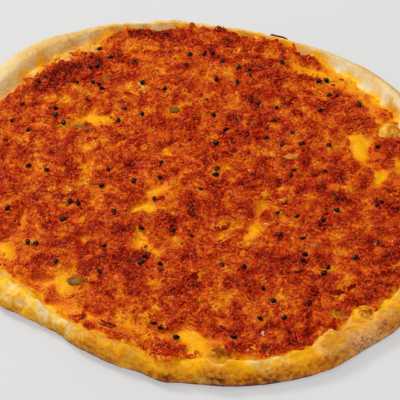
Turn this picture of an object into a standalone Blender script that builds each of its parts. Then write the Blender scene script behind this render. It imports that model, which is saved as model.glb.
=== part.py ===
"""Manakish: a thin oval flatbread with a puffed rim, spread with minced red pepper and nigella seeds.

Two solids. "flatbread" is the baked dough: a flat underside, a floor a few millimetres thick, a puffed rim
whose width and height change round the bread, and the bubbles that the oven raised on both. "pepper_spread"
is the layer of minced pepper on the floor, open wherever a bubble comes up through it, with the seeds and the
larger pieces of pepper fused to its top.

Metres, +Z up. The origin is the middle of the flat underside.
"""

import math

import bmesh
import bpy
import numpy as np
from mathutils import Matrix

MM = 0.001

# The outline: a round sheet of dough, stretched a little one way and uneven by hand.
MEAN_RADIUS = 108.8 * MM
OVAL_STRETCH, OVAL_AT = 6.4 * MM, math.radians(-33.5)
THREE_LOBES, THREE_LOBES_AT = 2.3 * MM, math.radians(30)
FOUR_LOBES, FOUR_LOBES_AT = 1.0 * MM, math.radians(29)
SWELLS = (  # degrees round, degrees wide, millimetres outward; a crease where the edge folded is negative
    (-85, 50, 1.2), (-97, 3.5, 1.5), (-63, 5, 0.7), (-43, 7, 1.5),
    (-124, 3, -1.2), (39, 7, 1.0), (63, 4, -0.9), (135, 9, 1.2), (-147, 11, 6.0),
)

# The dough.
FLOOR_THICKNESS = 4.2 * MM
FLOOR_WAVES = 0.35 * MM
FLOOR_WAVE_LENGTH = 34 * MM
# Width of the bare rim, millimetres, at degrees round from +X.
RIM_WIDTHS = (
    (-165, 8.5), (-146, 14.0), (-120, 8.2), (-108, 10.2), (-98, 8.6), (-88, 13.4), (-76, 12.0), (-64, 12.6),
    (-53, 14.0), (-42, 11.0), (-15, 11.0), (16, 13.5), (32, 11.6), (45, 10.0), (56, 6.5), (68, 4.0),
    (82, 5.0), (96, 7.5), (107, 5.2), (118, 10.5), (131, 14.8), (143, 16.2), (157, 12.0), (174, 9.5),
)
RIM_WIDTH_BLEND = math.radians(5.5)
RIM_LOWEST = 5.9 * MM
RIM_RISE_PER_WIDTH = 0.26
RIM_LUMPS = 0.6 * MM
RIM_LUMP_LENGTH = 15 * MM
CREST_AT = 0.46  # share of the rim's width, from the spread's edge
WIDEST_AT = 0.40  # share of the rim's height
FOOT_INSET = 1.4 * MM
FOOT_CLEARANCE = 0.3 * MM
FOOT_LIFT, FOOT_LIFT_LENGTH = 1.1 * MM, 24 * MM  # where the edge has curled up off the table
FLAT_INSET = 5.5 * MM

# Bubbles in the dough: x, y, length, width (millimetres), turn (degrees), rise above the dough (millimetres).
FLOOR_BUBBLES = (
    (72, 20, 20, 8, 104, 1.7),
    (79, 1, 10, 6, 80, 1.5),
    (-24, -21, 9, 8, 20, 1.5),
    (-19, -41, 15, 6.5, -47, 1.6),
    (-47, 35, 14, 7, 17, 1.4),
    (25, -32, 12, 6, 96, 1.5),
    (27, -16, 9, 6, 60, 1.3),
    (-80, -43, 13, 8, -60, 1.6),
    (-56, -57, 13, 7, -10, 1.4),
    (0, -86, 15, 8, -38, 1.6),
    (-14, 17, 10, 6, 30, 1.2),
)
RIM_BUBBLES = (
    (8.5, -99.5, 8, 7.5, 0, 2.6),
    (66, -77, 11.5, 10, 30, 2.6),
    (55, -75, 5, 4.5, 0, 1.6),
    (90, 31, 10.5, 9.5, 0, 2.4),
    (86, -64, 13, 8, 70, 2.0),
    (50, -92, 17, 9, -58, 1.9),
    (-53, 86, 9, 6, 35, 1.4),
    (-66, 78, 7, 5, 45, 1.1),
    (103, -14, 9, 7, 80, 1.7),
    (-103, 8, 11, 7, 85, 1.5),
    (-86, 50, 8, 5.5, 60, 1.2),
)
BUBBLE_SINK = 1.2 * MM
BUBBLE_ABOVE_FOOT = 0.8 * MM
BUBBLE_CLEARANCE = 0.8 * MM

# The spread.
GAP = 0.35 * MM  # between the spread and the dough
SPREAD_DEPTH = 1.35 * MM
SPREAD_LUMPS = ((11 * MM, 0.34), (6.5 * MM, 0.22))  # length, share of the depth
SPREAD_EDGE_DEPTH = 0.7 * MM
SPREAD_EDGE_FADE = 5 * MM
SPREAD_EDGE_INSET = 0.985
SPREAD_EDGE_WOBBLE, SPREAD_EDGE_WOBBLE_LENGTH = 0.012, 9 * MM

# Nigella seeds, and pieces of pepper that show from a step away.
SEED_COUNT, SEED_DRAW = 116, 2024
SEED_LENGTH, SEED_WIDTH, SEED_HEIGHT = 3.1 * MM, 2.0 * MM, 1.7 * MM
SEED_SIZES = (0.88, 1.1)
SEED_TILT = 0.25  # radians
SEED_SPACING, SEED_MARGIN = 6.5 * MM, 2.6 * MM  # from the next seed, from a bubble
SEED_SINK = 0.25  # share of its height that lies in the spread
PAIR_SHARE, PAIR_SPACING = 0.10, 3.6 * MM
EDGE_MARGIN = 5 * MM
STRIPS = (  # x, y, length, width (millimetres), turn (degrees)
    (-18, 22, 8.5, 1.8, 58),
    (60, -66, 11, 3.0, 20),
    (78, -57, 10, 3.2, 8),
    (-2, -59, 7, 4.6, 30),
    (-10, 90, 9, 3.2, 4),
    (42, 11, 7.5, 5.0, 15),
    (-52, 29, 8, 3.2, -22),
    (-51, -60, 7, 4.2, -5),
)
LOOSE_STRIP_COUNT, LOOSE_STRIP_DRAW = 12, 77
LOOSE_STRIP_LENGTHS, LOOSE_STRIP_WIDTHS = (4.5 * MM, 7.5 * MM), (1.8 * MM, 3.6 * MM)
LOOSE_STRIP_SPACING, LOOSE_STRIP_MARGIN = 14 * MM, 4 * MM
STRIP_THICKNESS = 1.1 * MM
STRIP_RISE = 0.15 * MM  # of its middle above the spread

SECTORS = 104  # facets round the bread: four times an even number of cells across the spread's top
GRID_CELLS = SECTORS // 4
FLOOR_RINGS = (1.0, 0.75, 0.5, 0.25)  # shares of the rim's inner radius
SLOPE_RINGS = (1.0, 0.66, 0.33)  # shares of the way from the floor up to the crest
CREST_TURNS = (75, 55, 30)  # degrees round the quarter ellipse from the crest to the side
FOOT_TURNS = (90, 45, 0)  # degrees round the quarter ellipse from the side to the foot


def material(name, colour, roughness):
    """One dielectric finish."""
    made = bpy.data.materials.new(name)
    made.use_nodes = True
    shader = made.node_tree.nodes["Principled BSDF"]
    shader.inputs["Base Color"].default_value = (*colour, 1.0)
    shader.inputs["Roughness"].default_value = roughness
    shader.inputs["Metallic"].default_value = 0.0
    return made


# ---------------------------------------------------------------- the shape, as formulas


def soft_noise(x, y, length, seed):
    """Smooth random height from -1 to 1: random values on a square lattice, eased from one to the next."""
    side = 64
    lattice = np.random.default_rng(seed).uniform(-1, 1, (side, side))
    across, along = x / length + 31.7, y / length + 17.3
    i, j = np.floor(across).astype(int), np.floor(along).astype(int)
    u, v = across - i, along - j
    u, v = u * u * (3 - 2 * u), v * v * (3 - 2 * v)
    i, j, after_i, after_j = i % side, j % side, (i + 1) % side, (j + 1) % side
    low = lattice[i, j] * (1 - u) + lattice[after_i, j] * u
    high = lattice[i, after_j] * (1 - u) + lattice[after_i, after_j] * u
    return low * (1 - v) + high * v


def turned_from(theta, at):
    """The angle from one direction to another, between -pi and pi."""
    return (theta - at + math.pi) % (2 * math.pi) - math.pi


def outer_radius(theta):
    """The bread's outline: a mean radius, an oval stretch, a few lobes, swells and creases."""
    radius = (
        MEAN_RADIUS
        + OVAL_STRETCH * np.cos(2 * (theta - OVAL_AT))
        + THREE_LOBES * np.cos(3 * (theta - THREE_LOBES_AT))
        + FOUR_LOBES * np.cos(4 * (theta - FOUR_LOBES_AT))
    )
    for at, wide, outward in SWELLS:
        away = turned_from(theta, math.radians(at)) / math.radians(wide)
        radius = radius + outward * MM * np.exp(-(away**2))
    return radius


def rim_width(theta):
    """The mean of the stated widths, each weighted by how near its direction is."""
    total = weights = 0
    for at, width in RIM_WIDTHS:
        away = turned_from(theta, math.radians(at)) / RIM_WIDTH_BLEND
        weight = np.exp(-(away**2) / 2) + 1e-9
        total, weights = total + weight * width * MM, weights + weight
    return total / weights


def rim_height(theta):
    """A wider rim has puffed higher. Lumps run along it."""
    x, y = MEAN_RADIUS * np.cos(theta), MEAN_RADIUS * np.sin(theta)
    lumps = RIM_LUMPS * soft_noise(x, y, RIM_LUMP_LENGTH, 3)
    return RIM_LOWEST + RIM_RISE_PER_WIDTH * rim_width(theta) + lumps


def floor_height(x, y):
    return FLOOR_THICKNESS + FLOOR_WAVES * soft_noise(x, y, FLOOR_WAVE_LENGTH, 1)


def dough_height(x, y):
    """Height of the dough's upper side: the floor, an eased slope up to the rim's crest, then a quarter
    ellipse down to the widest point of the side."""
    theta, radius = np.arctan2(y, x), np.hypot(x, y)
    width, crest = rim_width(theta), rim_height(theta)
    share = np.clip((radius - outer_radius(theta) + width) / width, 0, 1)
    floor = floor_height(x, y)
    inner = floor + (crest - floor) * (1 - np.cos(math.pi * np.clip(share / CREST_AT, 0, 1))) / 2
    beyond = np.clip((share - CREST_AT) / (1 - CREST_AT), 0, 1)
    outer = crest * (WIDEST_AT + (1 - WIDEST_AT) * np.sqrt(1 - beyond**2))
    return np.where(share < CREST_AT, inner, outer)


def spread_radius(theta):
    """The spread stops just short of the rim, at a slightly uneven edge."""
    x, y = MEAN_RADIUS * np.cos(theta), MEAN_RADIUS * np.sin(theta)
    wobble = SPREAD_EDGE_INSET + SPREAD_EDGE_WOBBLE * soft_noise(x, y, SPREAD_EDGE_WOBBLE_LENGTH, 5)
    return (outer_radius(theta) - rim_width(theta)) * np.minimum(wobble, 1)


def spread_height(x, y):
    """Height of the spread's top: the floor, the gap, and a lumpy depth that thins out at the edge."""
    depth = np.full_like(x, SPREAD_DEPTH)
    for number, (length, share) in enumerate(SPREAD_LUMPS):
        depth = depth + SPREAD_DEPTH * share * soft_noise(x, y, length, 10 + number)
    inside = spread_radius(np.arctan2(y, x)) - np.hypot(x, y)
    fade = np.clip(inside / SPREAD_EDGE_FADE, 0, 1)
    return floor_height(x, y) + GAP + SPREAD_EDGE_DEPTH + (depth - SPREAD_EDGE_DEPTH) * fade


# ---------------------------------------------------------------- building


def point_at(function, x, y):
    """A height formula at one point."""
    return float(function(np.array([x]), np.array([y]))[0])


def add_object(name, mesh, collection, finish=None):
    made = bpy.data.objects.new(name, mesh)
    if finish:
        mesh.materials.append(finish)
    collection.objects.link(made)
    return made


def finished_mesh(bm, name):
    bmesh.ops.triangulate(bm, faces=bm.faces)
    bmesh.ops.recalc_face_normals(bm, faces=bm.faces)
    mesh = bpy.data.meshes.new(name)
    bm.to_mesh(mesh)
    bm.free()
    return mesh


def place_ring(edge, section):
    """Moves a closed edge's points to the radius and height that a section gives for their directions."""
    verts = list({vert for part in edge for vert in part.verts})
    theta = np.array([math.atan2(vert.co.y, vert.co.x) for vert in verts])
    radius, height = section(theta)
    for vert, *place in zip(verts, radius * np.cos(theta), radius * np.sin(theta), height):
        vert.co = place


def grow_ring(bm, edge, section):
    """Extrudes the skin's open edge once, places the new one, and returns it."""
    made = bmesh.ops.extrude_edge_only(bm, edges=edge)["geom"]
    edge = [part for part in made if isinstance(part, bmesh.types.BMEdge) and part.is_boundary]
    place_ring(edge, section)
    return edge


def close_middle(bm, edge, height):
    """Fills the last ring with triangles that meet at a middle point."""
    face = bmesh.ops.contextual_create(bm, geom=edge)["faces"]
    bmesh.ops.poke(bm, faces=face)["verts"][0].co = (0, 0, height)


def flat_section(theta):
    """The edge of the flat underside."""
    return outer_radius(theta) - FOOT_INSET - FLAT_INSET, np.zeros_like(theta)


def foot_section(turn):
    """A ring of the dough's side, on a quarter ellipse from the widest point down to the foot."""
    down, back = math.sin(math.radians(turn)), 1 - math.cos(math.radians(turn))

    def section(theta):
        outer, widest = outer_radius(theta), rim_height(theta) * WIDEST_AT
        curl = soft_noise(outer * np.cos(theta), outer * np.sin(theta), FOOT_LIFT_LENGTH, 7)
        foot = FOOT_CLEARANCE + FOOT_LIFT * np.clip(curl, 0, 1)
        return outer - FOOT_INSET * back, widest + (foot - widest) * down

    return section


def top_section(across, share):
    """A ring of the dough's upper side: a share of the rim's width, or of the radius inside it."""

    def section(theta):
        width = rim_width(theta)
        radius = (outer_radius(theta) - width) * share + width * across
        return radius, dough_height(radius * np.cos(theta), radius * np.sin(theta))

    return section


def under_spread_section(share):
    """A ring of the spread's underside, which follows the dough at the gap."""

    def section(theta):
        radius = spread_radius(theta) if share == 1.0 else (outer_radius(theta) - rim_width(theta)) * share
        return radius, floor_height(radius * np.cos(theta), radius * np.sin(theta)) + GAP

    return section


def dough_mesh():
    """The dough's skin: a flat underside, then rings up the side, over the rim and in to the middle."""
    bm = bmesh.new()
    bmesh.ops.create_circle(bm, cap_ends=True, segments=SECTORS, radius=1)
    edge = list(bm.edges)
    place_ring(edge, flat_section)
    sections = [foot_section(turn) for turn in FOOT_TURNS]
    sections += [
        top_section(CREST_AT + (1 - CREST_AT) * math.sin(math.radians(turn)), 1.0) for turn in CREST_TURNS
    ]
    sections += [top_section(CREST_AT * share, 1.0) for share in SLOPE_RINGS]
    sections += [top_section(0, share) for share in FLOOR_RINGS]
    for section in sections:
        edge = grow_ring(bm, edge, section)
    close_middle(bm, edge, point_at(floor_height, 0, 0))
    return finished_mesh(bm, "flatbread")


def bubble(name, place, collection):
    """A dome of dough: a squashed ball sunk into the surface that it rises from."""
    x, y, length, width, turn, rise = place
    x, y = x * MM, y * MM
    middle = point_at(dough_height, x, y) - BUBBLE_SINK
    upward, downward = rise * MM + BUBBLE_SINK, min(BUBBLE_SINK, middle - BUBBLE_ABOVE_FOOT)
    bm = bmesh.new()
    bmesh.ops.create_icosphere(bm, subdivisions=2, radius=1.0)
    for vert in bm.verts:
        vert.co.z *= upward if vert.co.z > 0 else downward
    size = Matrix.Diagonal((length * MM / 2, width * MM / 2, 1, 1))
    put = Matrix.Translation((x, y, middle))
    bm.transform(put @ Matrix.Rotation(math.radians(turn), 4, "Z") @ size)
    return add_object(name, finished_mesh(bm, name), collection)


def opening_cutter(name, place, collection):
    """An upright oval prism, a little larger than the bubble that comes up through the spread."""
    x, y, length, width, turn, _ = place
    bm = bmesh.new()
    bmesh.ops.create_cone(bm, cap_ends=True, segments=16, radius1=1, radius2=1, depth=30 * MM)
    size = Matrix.Diagonal((length * MM / 2 + BUBBLE_CLEARANCE, width * MM / 2 + BUBBLE_CLEARANCE, 1, 1))
    put = Matrix.Translation((x * MM, y * MM, 0))
    bm.transform(put @ Matrix.Rotation(math.radians(turn), 4, "Z") @ size)
    cutter = add_object(name, finished_mesh(bm, name), collection)
    cutter.hide_render = True
    cutter.display_type = "WIRE"
    return cutter


def join_with(base, collection, operation):
    """Applies one Boolean with a whole collection, then removes the collection's objects."""
    boolean = base.modifiers.new("join", "BOOLEAN")
    boolean.operation = operation
    boolean.operand_type = "COLLECTION"
    boolean.collection = collection
    graph = bpy.context.evaluated_depsgraph_get()
    made = bpy.data.meshes.new_from_object(base.evaluated_get(graph))
    base.modifiers.clear()
    base.data = made
    for piece in list(collection.objects):
        bpy.data.objects.remove(piece)
    bpy.data.collections.remove(collection)


def disc_grid():
    """A square grid of cells bent to a unit disc, with its edge points evenly spaced round it."""
    bm = bmesh.new()
    bmesh.ops.create_grid(bm, x_segments=GRID_CELLS, y_segments=GRID_CELLS, size=1.0)
    for vert in bm.verts:
        a, b = vert.co.x, vert.co.y
        if abs(a) < 1e-9 and abs(b) < 1e-9:
            continue
        if abs(a) >= abs(b):
            radius, angle = a, math.pi / 4 * b / a
        else:
            radius, angle = b, math.pi / 2 - math.pi / 4 * a / b
        vert.co.x, vert.co.y = radius * math.cos(angle), radius * math.sin(angle)
    return bm


def spread_mesh():
    """The spread's lumpy top on a disc grid, then its edge, then an underside that follows the dough."""
    bm = disc_grid()
    flat = np.array([(vert.co.x, vert.co.y) for vert in bm.verts])
    reach = spread_radius(np.arctan2(flat[:, 1], flat[:, 0]))
    x, y = (flat * reach[:, None]).T
    for vert, *place in zip(bm.verts, x, y, spread_height(x, y)):
        vert.co = place
    edge = [part for part in bm.edges if part.is_boundary]
    for share in FLOOR_RINGS:
        edge = grow_ring(bm, edge, under_spread_section(share))
    close_middle(bm, edge, point_at(floor_height, 0, 0) + GAP)
    return finished_mesh(bm, "pepper_spread")


def clear_of_bubbles(x, y, margin):
    """Whether a point is outside every bubble's oval, by a margin."""
    for bx, by, length, width, turn, _ in (*FLOOR_BUBBLES, *RIM_BUBBLES):
        dx, dy, angle = x - bx * MM, y - by * MM, math.radians(turn)
        along = (dx * math.cos(angle) + dy * math.sin(angle)) / (length * MM / 2 + margin)
        across = (dy * math.cos(angle) - dx * math.sin(angle)) / (width * MM / 2 + margin)
        if along**2 + across**2 < 1:
            return False
    return True


def scattered(draw, count, spacing, margin, taken):
    """Random places on the spread, none too near another or a bubble's opening. A few lie in pairs."""
    places = []
    while len(places) < count:
        if places and draw.random() < PAIR_SHARE:
            from_x, from_y = places[-1]
            turn, nearest = draw.uniform(0, 2 * math.pi), PAIR_SPACING * 0.99
            x, y = from_x + PAIR_SPACING * math.cos(turn), from_y + PAIR_SPACING * math.sin(turn)
        else:
            turn, radius = draw.uniform(0, 2 * math.pi), MEAN_RADIUS * math.sqrt(draw.random())
            x, y = radius * math.cos(turn), radius * math.sin(turn)
            nearest = spacing
        inside = spread_radius(np.array([math.atan2(y, x)]))[0] - math.hypot(x, y)
        if inside < EDGE_MARGIN or not clear_of_bubbles(x, y, margin):
            continue
        if all(math.hypot(x - px, y - py) > nearest for px, py in (*places, *taken)):
            places.append((x, y))
    return places


def loose_strips():
    """Smaller pieces between the stated strips, in the same form as those but in metres and radians."""
    draw = np.random.default_rng(LOOSE_STRIP_DRAW)
    stated = [(x * MM, y * MM) for x, y, *_ in STRIPS]
    places = scattered(draw, LOOSE_STRIP_COUNT, LOOSE_STRIP_SPACING, LOOSE_STRIP_MARGIN, stated)
    lengths = draw.uniform(*LOOSE_STRIP_LENGTHS, LOOSE_STRIP_COUNT)
    widths = draw.uniform(*LOOSE_STRIP_WIDTHS, LOOSE_STRIP_COUNT)
    turns = draw.uniform(0, math.pi, LOOSE_STRIP_COUNT)
    return [(x, y, *sizes) for (x, y), *sizes in zip(places, lengths, widths, turns)]


def seeds(strips):
    """Each seed's place, turn, tilt and size, clear of the strips."""
    draw = np.random.default_rng(SEED_DRAW)
    places = scattered(draw, SEED_COUNT, SEED_SPACING, SEED_MARGIN, [(x, y) for x, y, *_ in strips])
    turns = draw.uniform(0, 2 * math.pi, SEED_COUNT)
    tilts = draw.uniform(-SEED_TILT, SEED_TILT, SEED_COUNT)
    sizes = draw.uniform(*SEED_SIZES, SEED_COUNT)
    return [(x, y, *rest) for (x, y), *rest in zip(places, turns, tilts, sizes)]


def add_seed(name, x, y, turn, tilt, size, collection):
    """A nigella seed: a small angular drop, narrower at one end, lying in the spread."""
    bm = bmesh.new()
    bmesh.ops.create_icosphere(bm, subdivisions=1, radius=0.5)
    for vert in bm.verts:
        narrow = 1 - 1.1 * max(vert.co.x, 0)
        vert.co.y *= narrow
        vert.co.z *= narrow
    full = Matrix.Diagonal((SEED_LENGTH * size, SEED_WIDTH * size, SEED_HEIGHT * size, 1))
    rise = SEED_HEIGHT * size * (0.5 - SEED_SINK)
    put = Matrix.Translation((x, y, point_at(spread_height, x, y) + rise))
    bm.transform(put @ Matrix.Rotation(turn, 4, "Z") @ Matrix.Rotation(tilt, 4, "Y") @ full)
    add_object(name, finished_mesh(bm, name), collection)


def add_strip(name, x, y, length, width, turn, collection):
    """A piece of pepper: a low block with seven sides, half sunk in the spread."""
    bm = bmesh.new()
    bmesh.ops.create_cone(bm, cap_ends=True, segments=7, radius1=0.5, radius2=0.38, depth=1)
    full = Matrix.Diagonal((length, width, STRIP_THICKNESS, 1))
    put = Matrix.Translation((x, y, point_at(spread_height, x, y) + STRIP_RISE))
    bm.transform(put @ Matrix.Rotation(turn, 4, "Z") @ full)
    add_object(name, finished_mesh(bm, name), collection)


def build_flatbread(parts, finish):
    bread = add_object("flatbread", dough_mesh(), parts, finish)
    bubbles = bpy.data.collections.new("bubbles")
    bpy.context.scene.collection.children.link(bubbles)
    for number, place in enumerate((*FLOOR_BUBBLES, *RIM_BUBBLES)):
        bubble(f"bubble_{number}", place, bubbles)
    join_with(bread, bubbles, "UNION")
    bread.data.shade_smooth()
    bread.data.set_sharp_from_angle(angle=math.radians(50))


def build_spread(parts, finish):
    spread = add_object("pepper_spread", spread_mesh(), parts, finish)
    openings = bpy.data.collections.new("openings")
    toppings = bpy.data.collections.new("toppings")
    for collection in (openings, toppings):
        bpy.context.scene.collection.children.link(collection)
    for number, place in enumerate((*FLOOR_BUBBLES, *RIM_BUBBLES)):
        opening_cutter(f"opening_{number}", place, openings)
    join_with(spread, openings, "DIFFERENCE")

    strips = [(*(size * MM for size in sizes), math.radians(turn)) for *sizes, turn in STRIPS]
    strips += loose_strips()
    for number, strip in enumerate(strips):
        add_strip(f"strip_{number}", *strip, toppings)
    for number, seed in enumerate(seeds(strips)):
        add_seed(f"seed_{number}", *seed, toppings)
    join_with(spread, toppings, "UNION")
    spread.data.shade_smooth()
    spread.data.set_sharp_from_angle(angle=math.radians(35))


def main():
    for old in list(bpy.data.objects):
        bpy.data.objects.remove(old)
    parts = bpy.data.collections.new("manakish")
    bpy.context.scene.collection.children.link(parts)
    build_flatbread(parts, material("baked_dough", (0.78, 0.58, 0.30), 0.75))
    build_spread(parts, material("pepper_spread", (0.58, 0.12, 0.02), 0.35))


main()
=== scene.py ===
# %% [markdown]
# # A manakish, dressed for its portrait
# A manakish is a thin round of bread dough, pressed out by hand, spread with minced red pepper in oil and
# baked on a hot floor. The solid model gives its true size and form: a floor a few millimetres thick and a
# puffed rim. Here each solid is replaced by a finer surface of the same form, worked out with numpy, and the
# small things on it, such as the mince and the nigella seeds, are scattered over it as real meshes.
# First the solid model is loaded.

# %% The frame
import math

import bpy
import numpy as np
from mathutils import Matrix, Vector


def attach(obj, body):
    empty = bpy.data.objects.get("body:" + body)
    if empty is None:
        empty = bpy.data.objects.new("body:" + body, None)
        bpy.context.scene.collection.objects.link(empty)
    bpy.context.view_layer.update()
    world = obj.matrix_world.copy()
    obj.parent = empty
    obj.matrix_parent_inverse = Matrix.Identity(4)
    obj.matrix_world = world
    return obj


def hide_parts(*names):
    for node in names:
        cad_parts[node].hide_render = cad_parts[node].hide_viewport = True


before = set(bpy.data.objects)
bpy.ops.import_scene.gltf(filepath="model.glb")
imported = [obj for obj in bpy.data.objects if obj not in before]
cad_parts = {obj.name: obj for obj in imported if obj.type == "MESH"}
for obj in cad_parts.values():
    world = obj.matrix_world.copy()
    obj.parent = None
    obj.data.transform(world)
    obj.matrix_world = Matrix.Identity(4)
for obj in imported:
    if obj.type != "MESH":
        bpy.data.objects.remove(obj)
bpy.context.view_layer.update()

# %% [markdown]
# ## Units and two small helpers
# A baker thinks in millimetres, so every size below is in millimetres, and the meshes are turned to metres
# as they are made. Soft noise is the base of everything uneven: random values on a square lattice, eased
# from one to the next, so its lumps have a size that can be stated in millimetres.

# %% Noise and easing
MM = 0.001
LATTICE, SOLID_LATTICE = 64, 32  # random values along each side, before they repeat
OFF_X, OFF_Y, OFF_SOLID = 31.7, 17.3, 11.3  # cells, so that no lattice line runs through the bread's middle


def soft_noise(x, y, length, seed):
    """Smooth random height from -1 to 1: random values on a square lattice, eased from one to the next."""
    lattice = np.random.default_rng(seed).uniform(-1, 1, (LATTICE, LATTICE))
    across, along = x / length + OFF_X, y / length + OFF_Y
    i, j = np.floor(across).astype(int), np.floor(along).astype(int)
    u, v = across - i, along - j
    u, v = u * u * (3 - 2 * u), v * v * (3 - 2 * v)
    i, j, after_i, after_j = i % LATTICE, j % LATTICE, (i + 1) % LATTICE, (j + 1) % LATTICE
    low = lattice[i, j] * (1 - u) + lattice[after_i, j] * u
    high = lattice[i, after_j] * (1 - u) + lattice[after_i, after_j] * u
    return low * (1 - v) + high * v


def solid_noise(points, length, seed):
    """The same in three directions: a cube's eight corners, each weighted by how near the point is to it."""
    lattice = np.random.default_rng(seed).uniform(-1, 1, (SOLID_LATTICE,) * 3)
    cell = np.floor(points / length + OFF_SOLID).astype(int)
    part = points / length + OFF_SOLID - cell
    part = part * part * (3 - 2 * part)
    low, high = cell % SOLID_LATTICE, (cell + 1) % SOLID_LATTICE
    total = 0
    for corner in range(8):
        weight, place = 1, []
        for axis in range(3):
            far = (corner >> axis) & 1
            place.append((high if far else low)[..., axis])
            weight = weight * (part[..., axis] if far else 1 - part[..., axis])
        total = total + weight * lattice[tuple(place)]
    return total


def layered(layers, seed, noise, *place, start=0):
    """Noise of several sizes added up. Each layer is a length and how much, and takes the next seed."""
    return sum((much * noise(*place, length, seed + n) for n, (length, much) in enumerate(layers)), start)


def eased(low, high, value):
    """0 below low, 1 above high, and a smooth S between them. It also runs backwards, from high to low."""
    share = np.clip((value - low) / (high - low), 0, 1)
    return share * share * (3 - 2 * share)


print("lumps of 10 mm, a sample:", soft_noise(np.arange(3) * 5.0, np.zeros(3), 10, 1).round(2))

# %% [markdown]
# ## From arrays to a mesh
# A finished piece is an array of points and one or two arrays of faces. Blender takes whole arrays through
# foreach_set, which is quick, and a float attribute carries a value for each point, such as how toasted the
# crust is there, to the material. Every piece rides on the one body.

# %% A piece from arrays
PIECES = bpy.data.collections.new("manakish_looks")
bpy.context.scene.collection.children.link(PIECES)


def add_piece(name, points, face_groups, finish, slot, smooth=True, **values):
    """Makes a mesh from points in millimetres, arrays of faces, and values stored at its points. Cut things
    keep flat facets."""
    corners = np.concatenate([faces.ravel() for faces in face_groups]).astype(np.int32)
    sides = np.concatenate([np.full(len(faces), faces.shape[1]) for faces in face_groups])
    mesh = bpy.data.meshes.new(name)
    mesh.vertices.add(len(points))
    mesh.vertices.foreach_set("co", (points * MM).astype(np.float32).ravel())
    mesh.loops.add(len(corners))
    mesh.loops.foreach_set("vertex_index", corners)
    mesh.polygons.add(len(sides))
    mesh.polygons.foreach_set("loop_start", (np.cumsum(sides) - sides).astype(np.int32))
    mesh.update(calc_edges=True)
    for key, value in values.items():
        layer = mesh.attributes.new(key, "FLOAT", "POINT")
        layer.data.foreach_set("value", np.asarray(value, np.float32).ravel())
    mesh.materials.append(finish)
    if smooth:
        mesh.shade_smooth()
    else:
        mesh.shade_flat()
    piece = bpy.data.objects.new(name, mesh)
    PIECES.objects.link(piece)
    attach(piece, "root")
    print(f"{name}: {len(points)} points, {(sides - 2).sum()} triangles")
    return piece


def closed_faces(rows, around):
    """Faces of a closed form: a first point, rows of points round it, and a last point. Seen from the first
    point's side, the rows run anticlockwise."""
    row, turn = np.meshgrid(np.arange(rows - 1), np.arange(around), indexing="ij")
    here, beside = 1 + row * around + turn, 1 + row * around + (turn + 1) % around
    quads = np.stack([here, here + around, beside + around, beside], -1).reshape(-1, 4)
    turn, after = np.arange(around), (np.arange(around) + 1) % around
    last = 1 + (rows - 1) * around
    first_fan = np.stack([np.zeros(around, int), 1 + turn, 1 + after], -1)
    last_fan = np.stack([last + turn, np.full(around, last + around), last + after], -1)
    return [quads, np.concatenate([first_fan, last_fan])]


# %% [markdown]
# ## A node at a time
# Materials are trees of nodes. One function adds a node, sets its own settings, gives each of its inputs
# either a value or the output that feeds it, and returns the output that the next node needs. Colours are
# picked as the sRGB hex values that a painter would read off a screen, and turned to the linear values that
# light is reckoned in. Every tree here starts from the place on the object, in metres, and ends in one
# physical shader, so a finish is a function that adds what lies between and returns the shader's inputs.

# %% Material helpers
def linear(hex_colour):
    """An sRGB hex colour as linear red, green, blue and an alpha of 1."""
    parts = [int(hex_colour[i : i + 2], 16) / 255 for i in (1, 3, 5)]
    return [c / 12.92 if c <= 0.04045 else ((c + 0.055) / 1.055) ** 2.4 for c in parts] + [1.0]


def add_node(tree, kind, output, inputs=None, stops=(), **settings):
    """Adds one shader node and returns the output of that name. Inputs are values or other nodes' outputs.
    Stops are a colour ramp's places, and the first two of them move the two that a ramp starts with."""
    made = tree.nodes.new("ShaderNode" + kind)
    for name, value in settings.items():
        setattr(made, name, value)
    for socket, value in (inputs or {}).items():
        if isinstance(value, bpy.types.NodeSocket):
            tree.links.new(value, made.inputs[socket])
        else:
            made.inputs[socket].default_value = value
    for number, (place, colour) in enumerate(stops):
        elements = made.color_ramp.elements
        element = elements[number] if number < 2 else elements.new(place)
        element.position = place
        element.color = linear(colour)
    return made.outputs[output] if output else made


def new_material(name, finish, *details):
    """A material whose tree runs from the place on the object through the finish's nodes to the shader."""
    made = bpy.data.materials.new(name)
    made.use_nodes = True
    tree = made.node_tree
    tree.nodes.clear()
    inputs = finish(tree, add_node(tree, "TexCoord", "Object"), *details)
    surface = add_node(tree, "BsdfPrincipled", "BSDF", inputs)
    add_node(tree, "OutputMaterial", None, {"Surface": surface})
    print(f"material {name}: {len(tree.nodes)} nodes")
    return made


def per_size(millimetres):
    """The scale of a texture whose pattern repeats about once in that size, on coordinates in metres."""
    return 1 / (millimetres * MM)


print("half way up in sRGB, as linear light:", round(linear("#808080")[0], 3))

# %% [markdown]
# ## The outline and the rim
# Dough that is pressed out by hand never makes a true circle. The outline is a mean radius with an oval
# stretch, a few lobes, and creases where the edge folded. The rim is wide where the fingers left more dough,
# and a wider rim puffs higher. These are the same formulas and sizes as the solid model's, so the fine
# surface keeps its form.

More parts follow.
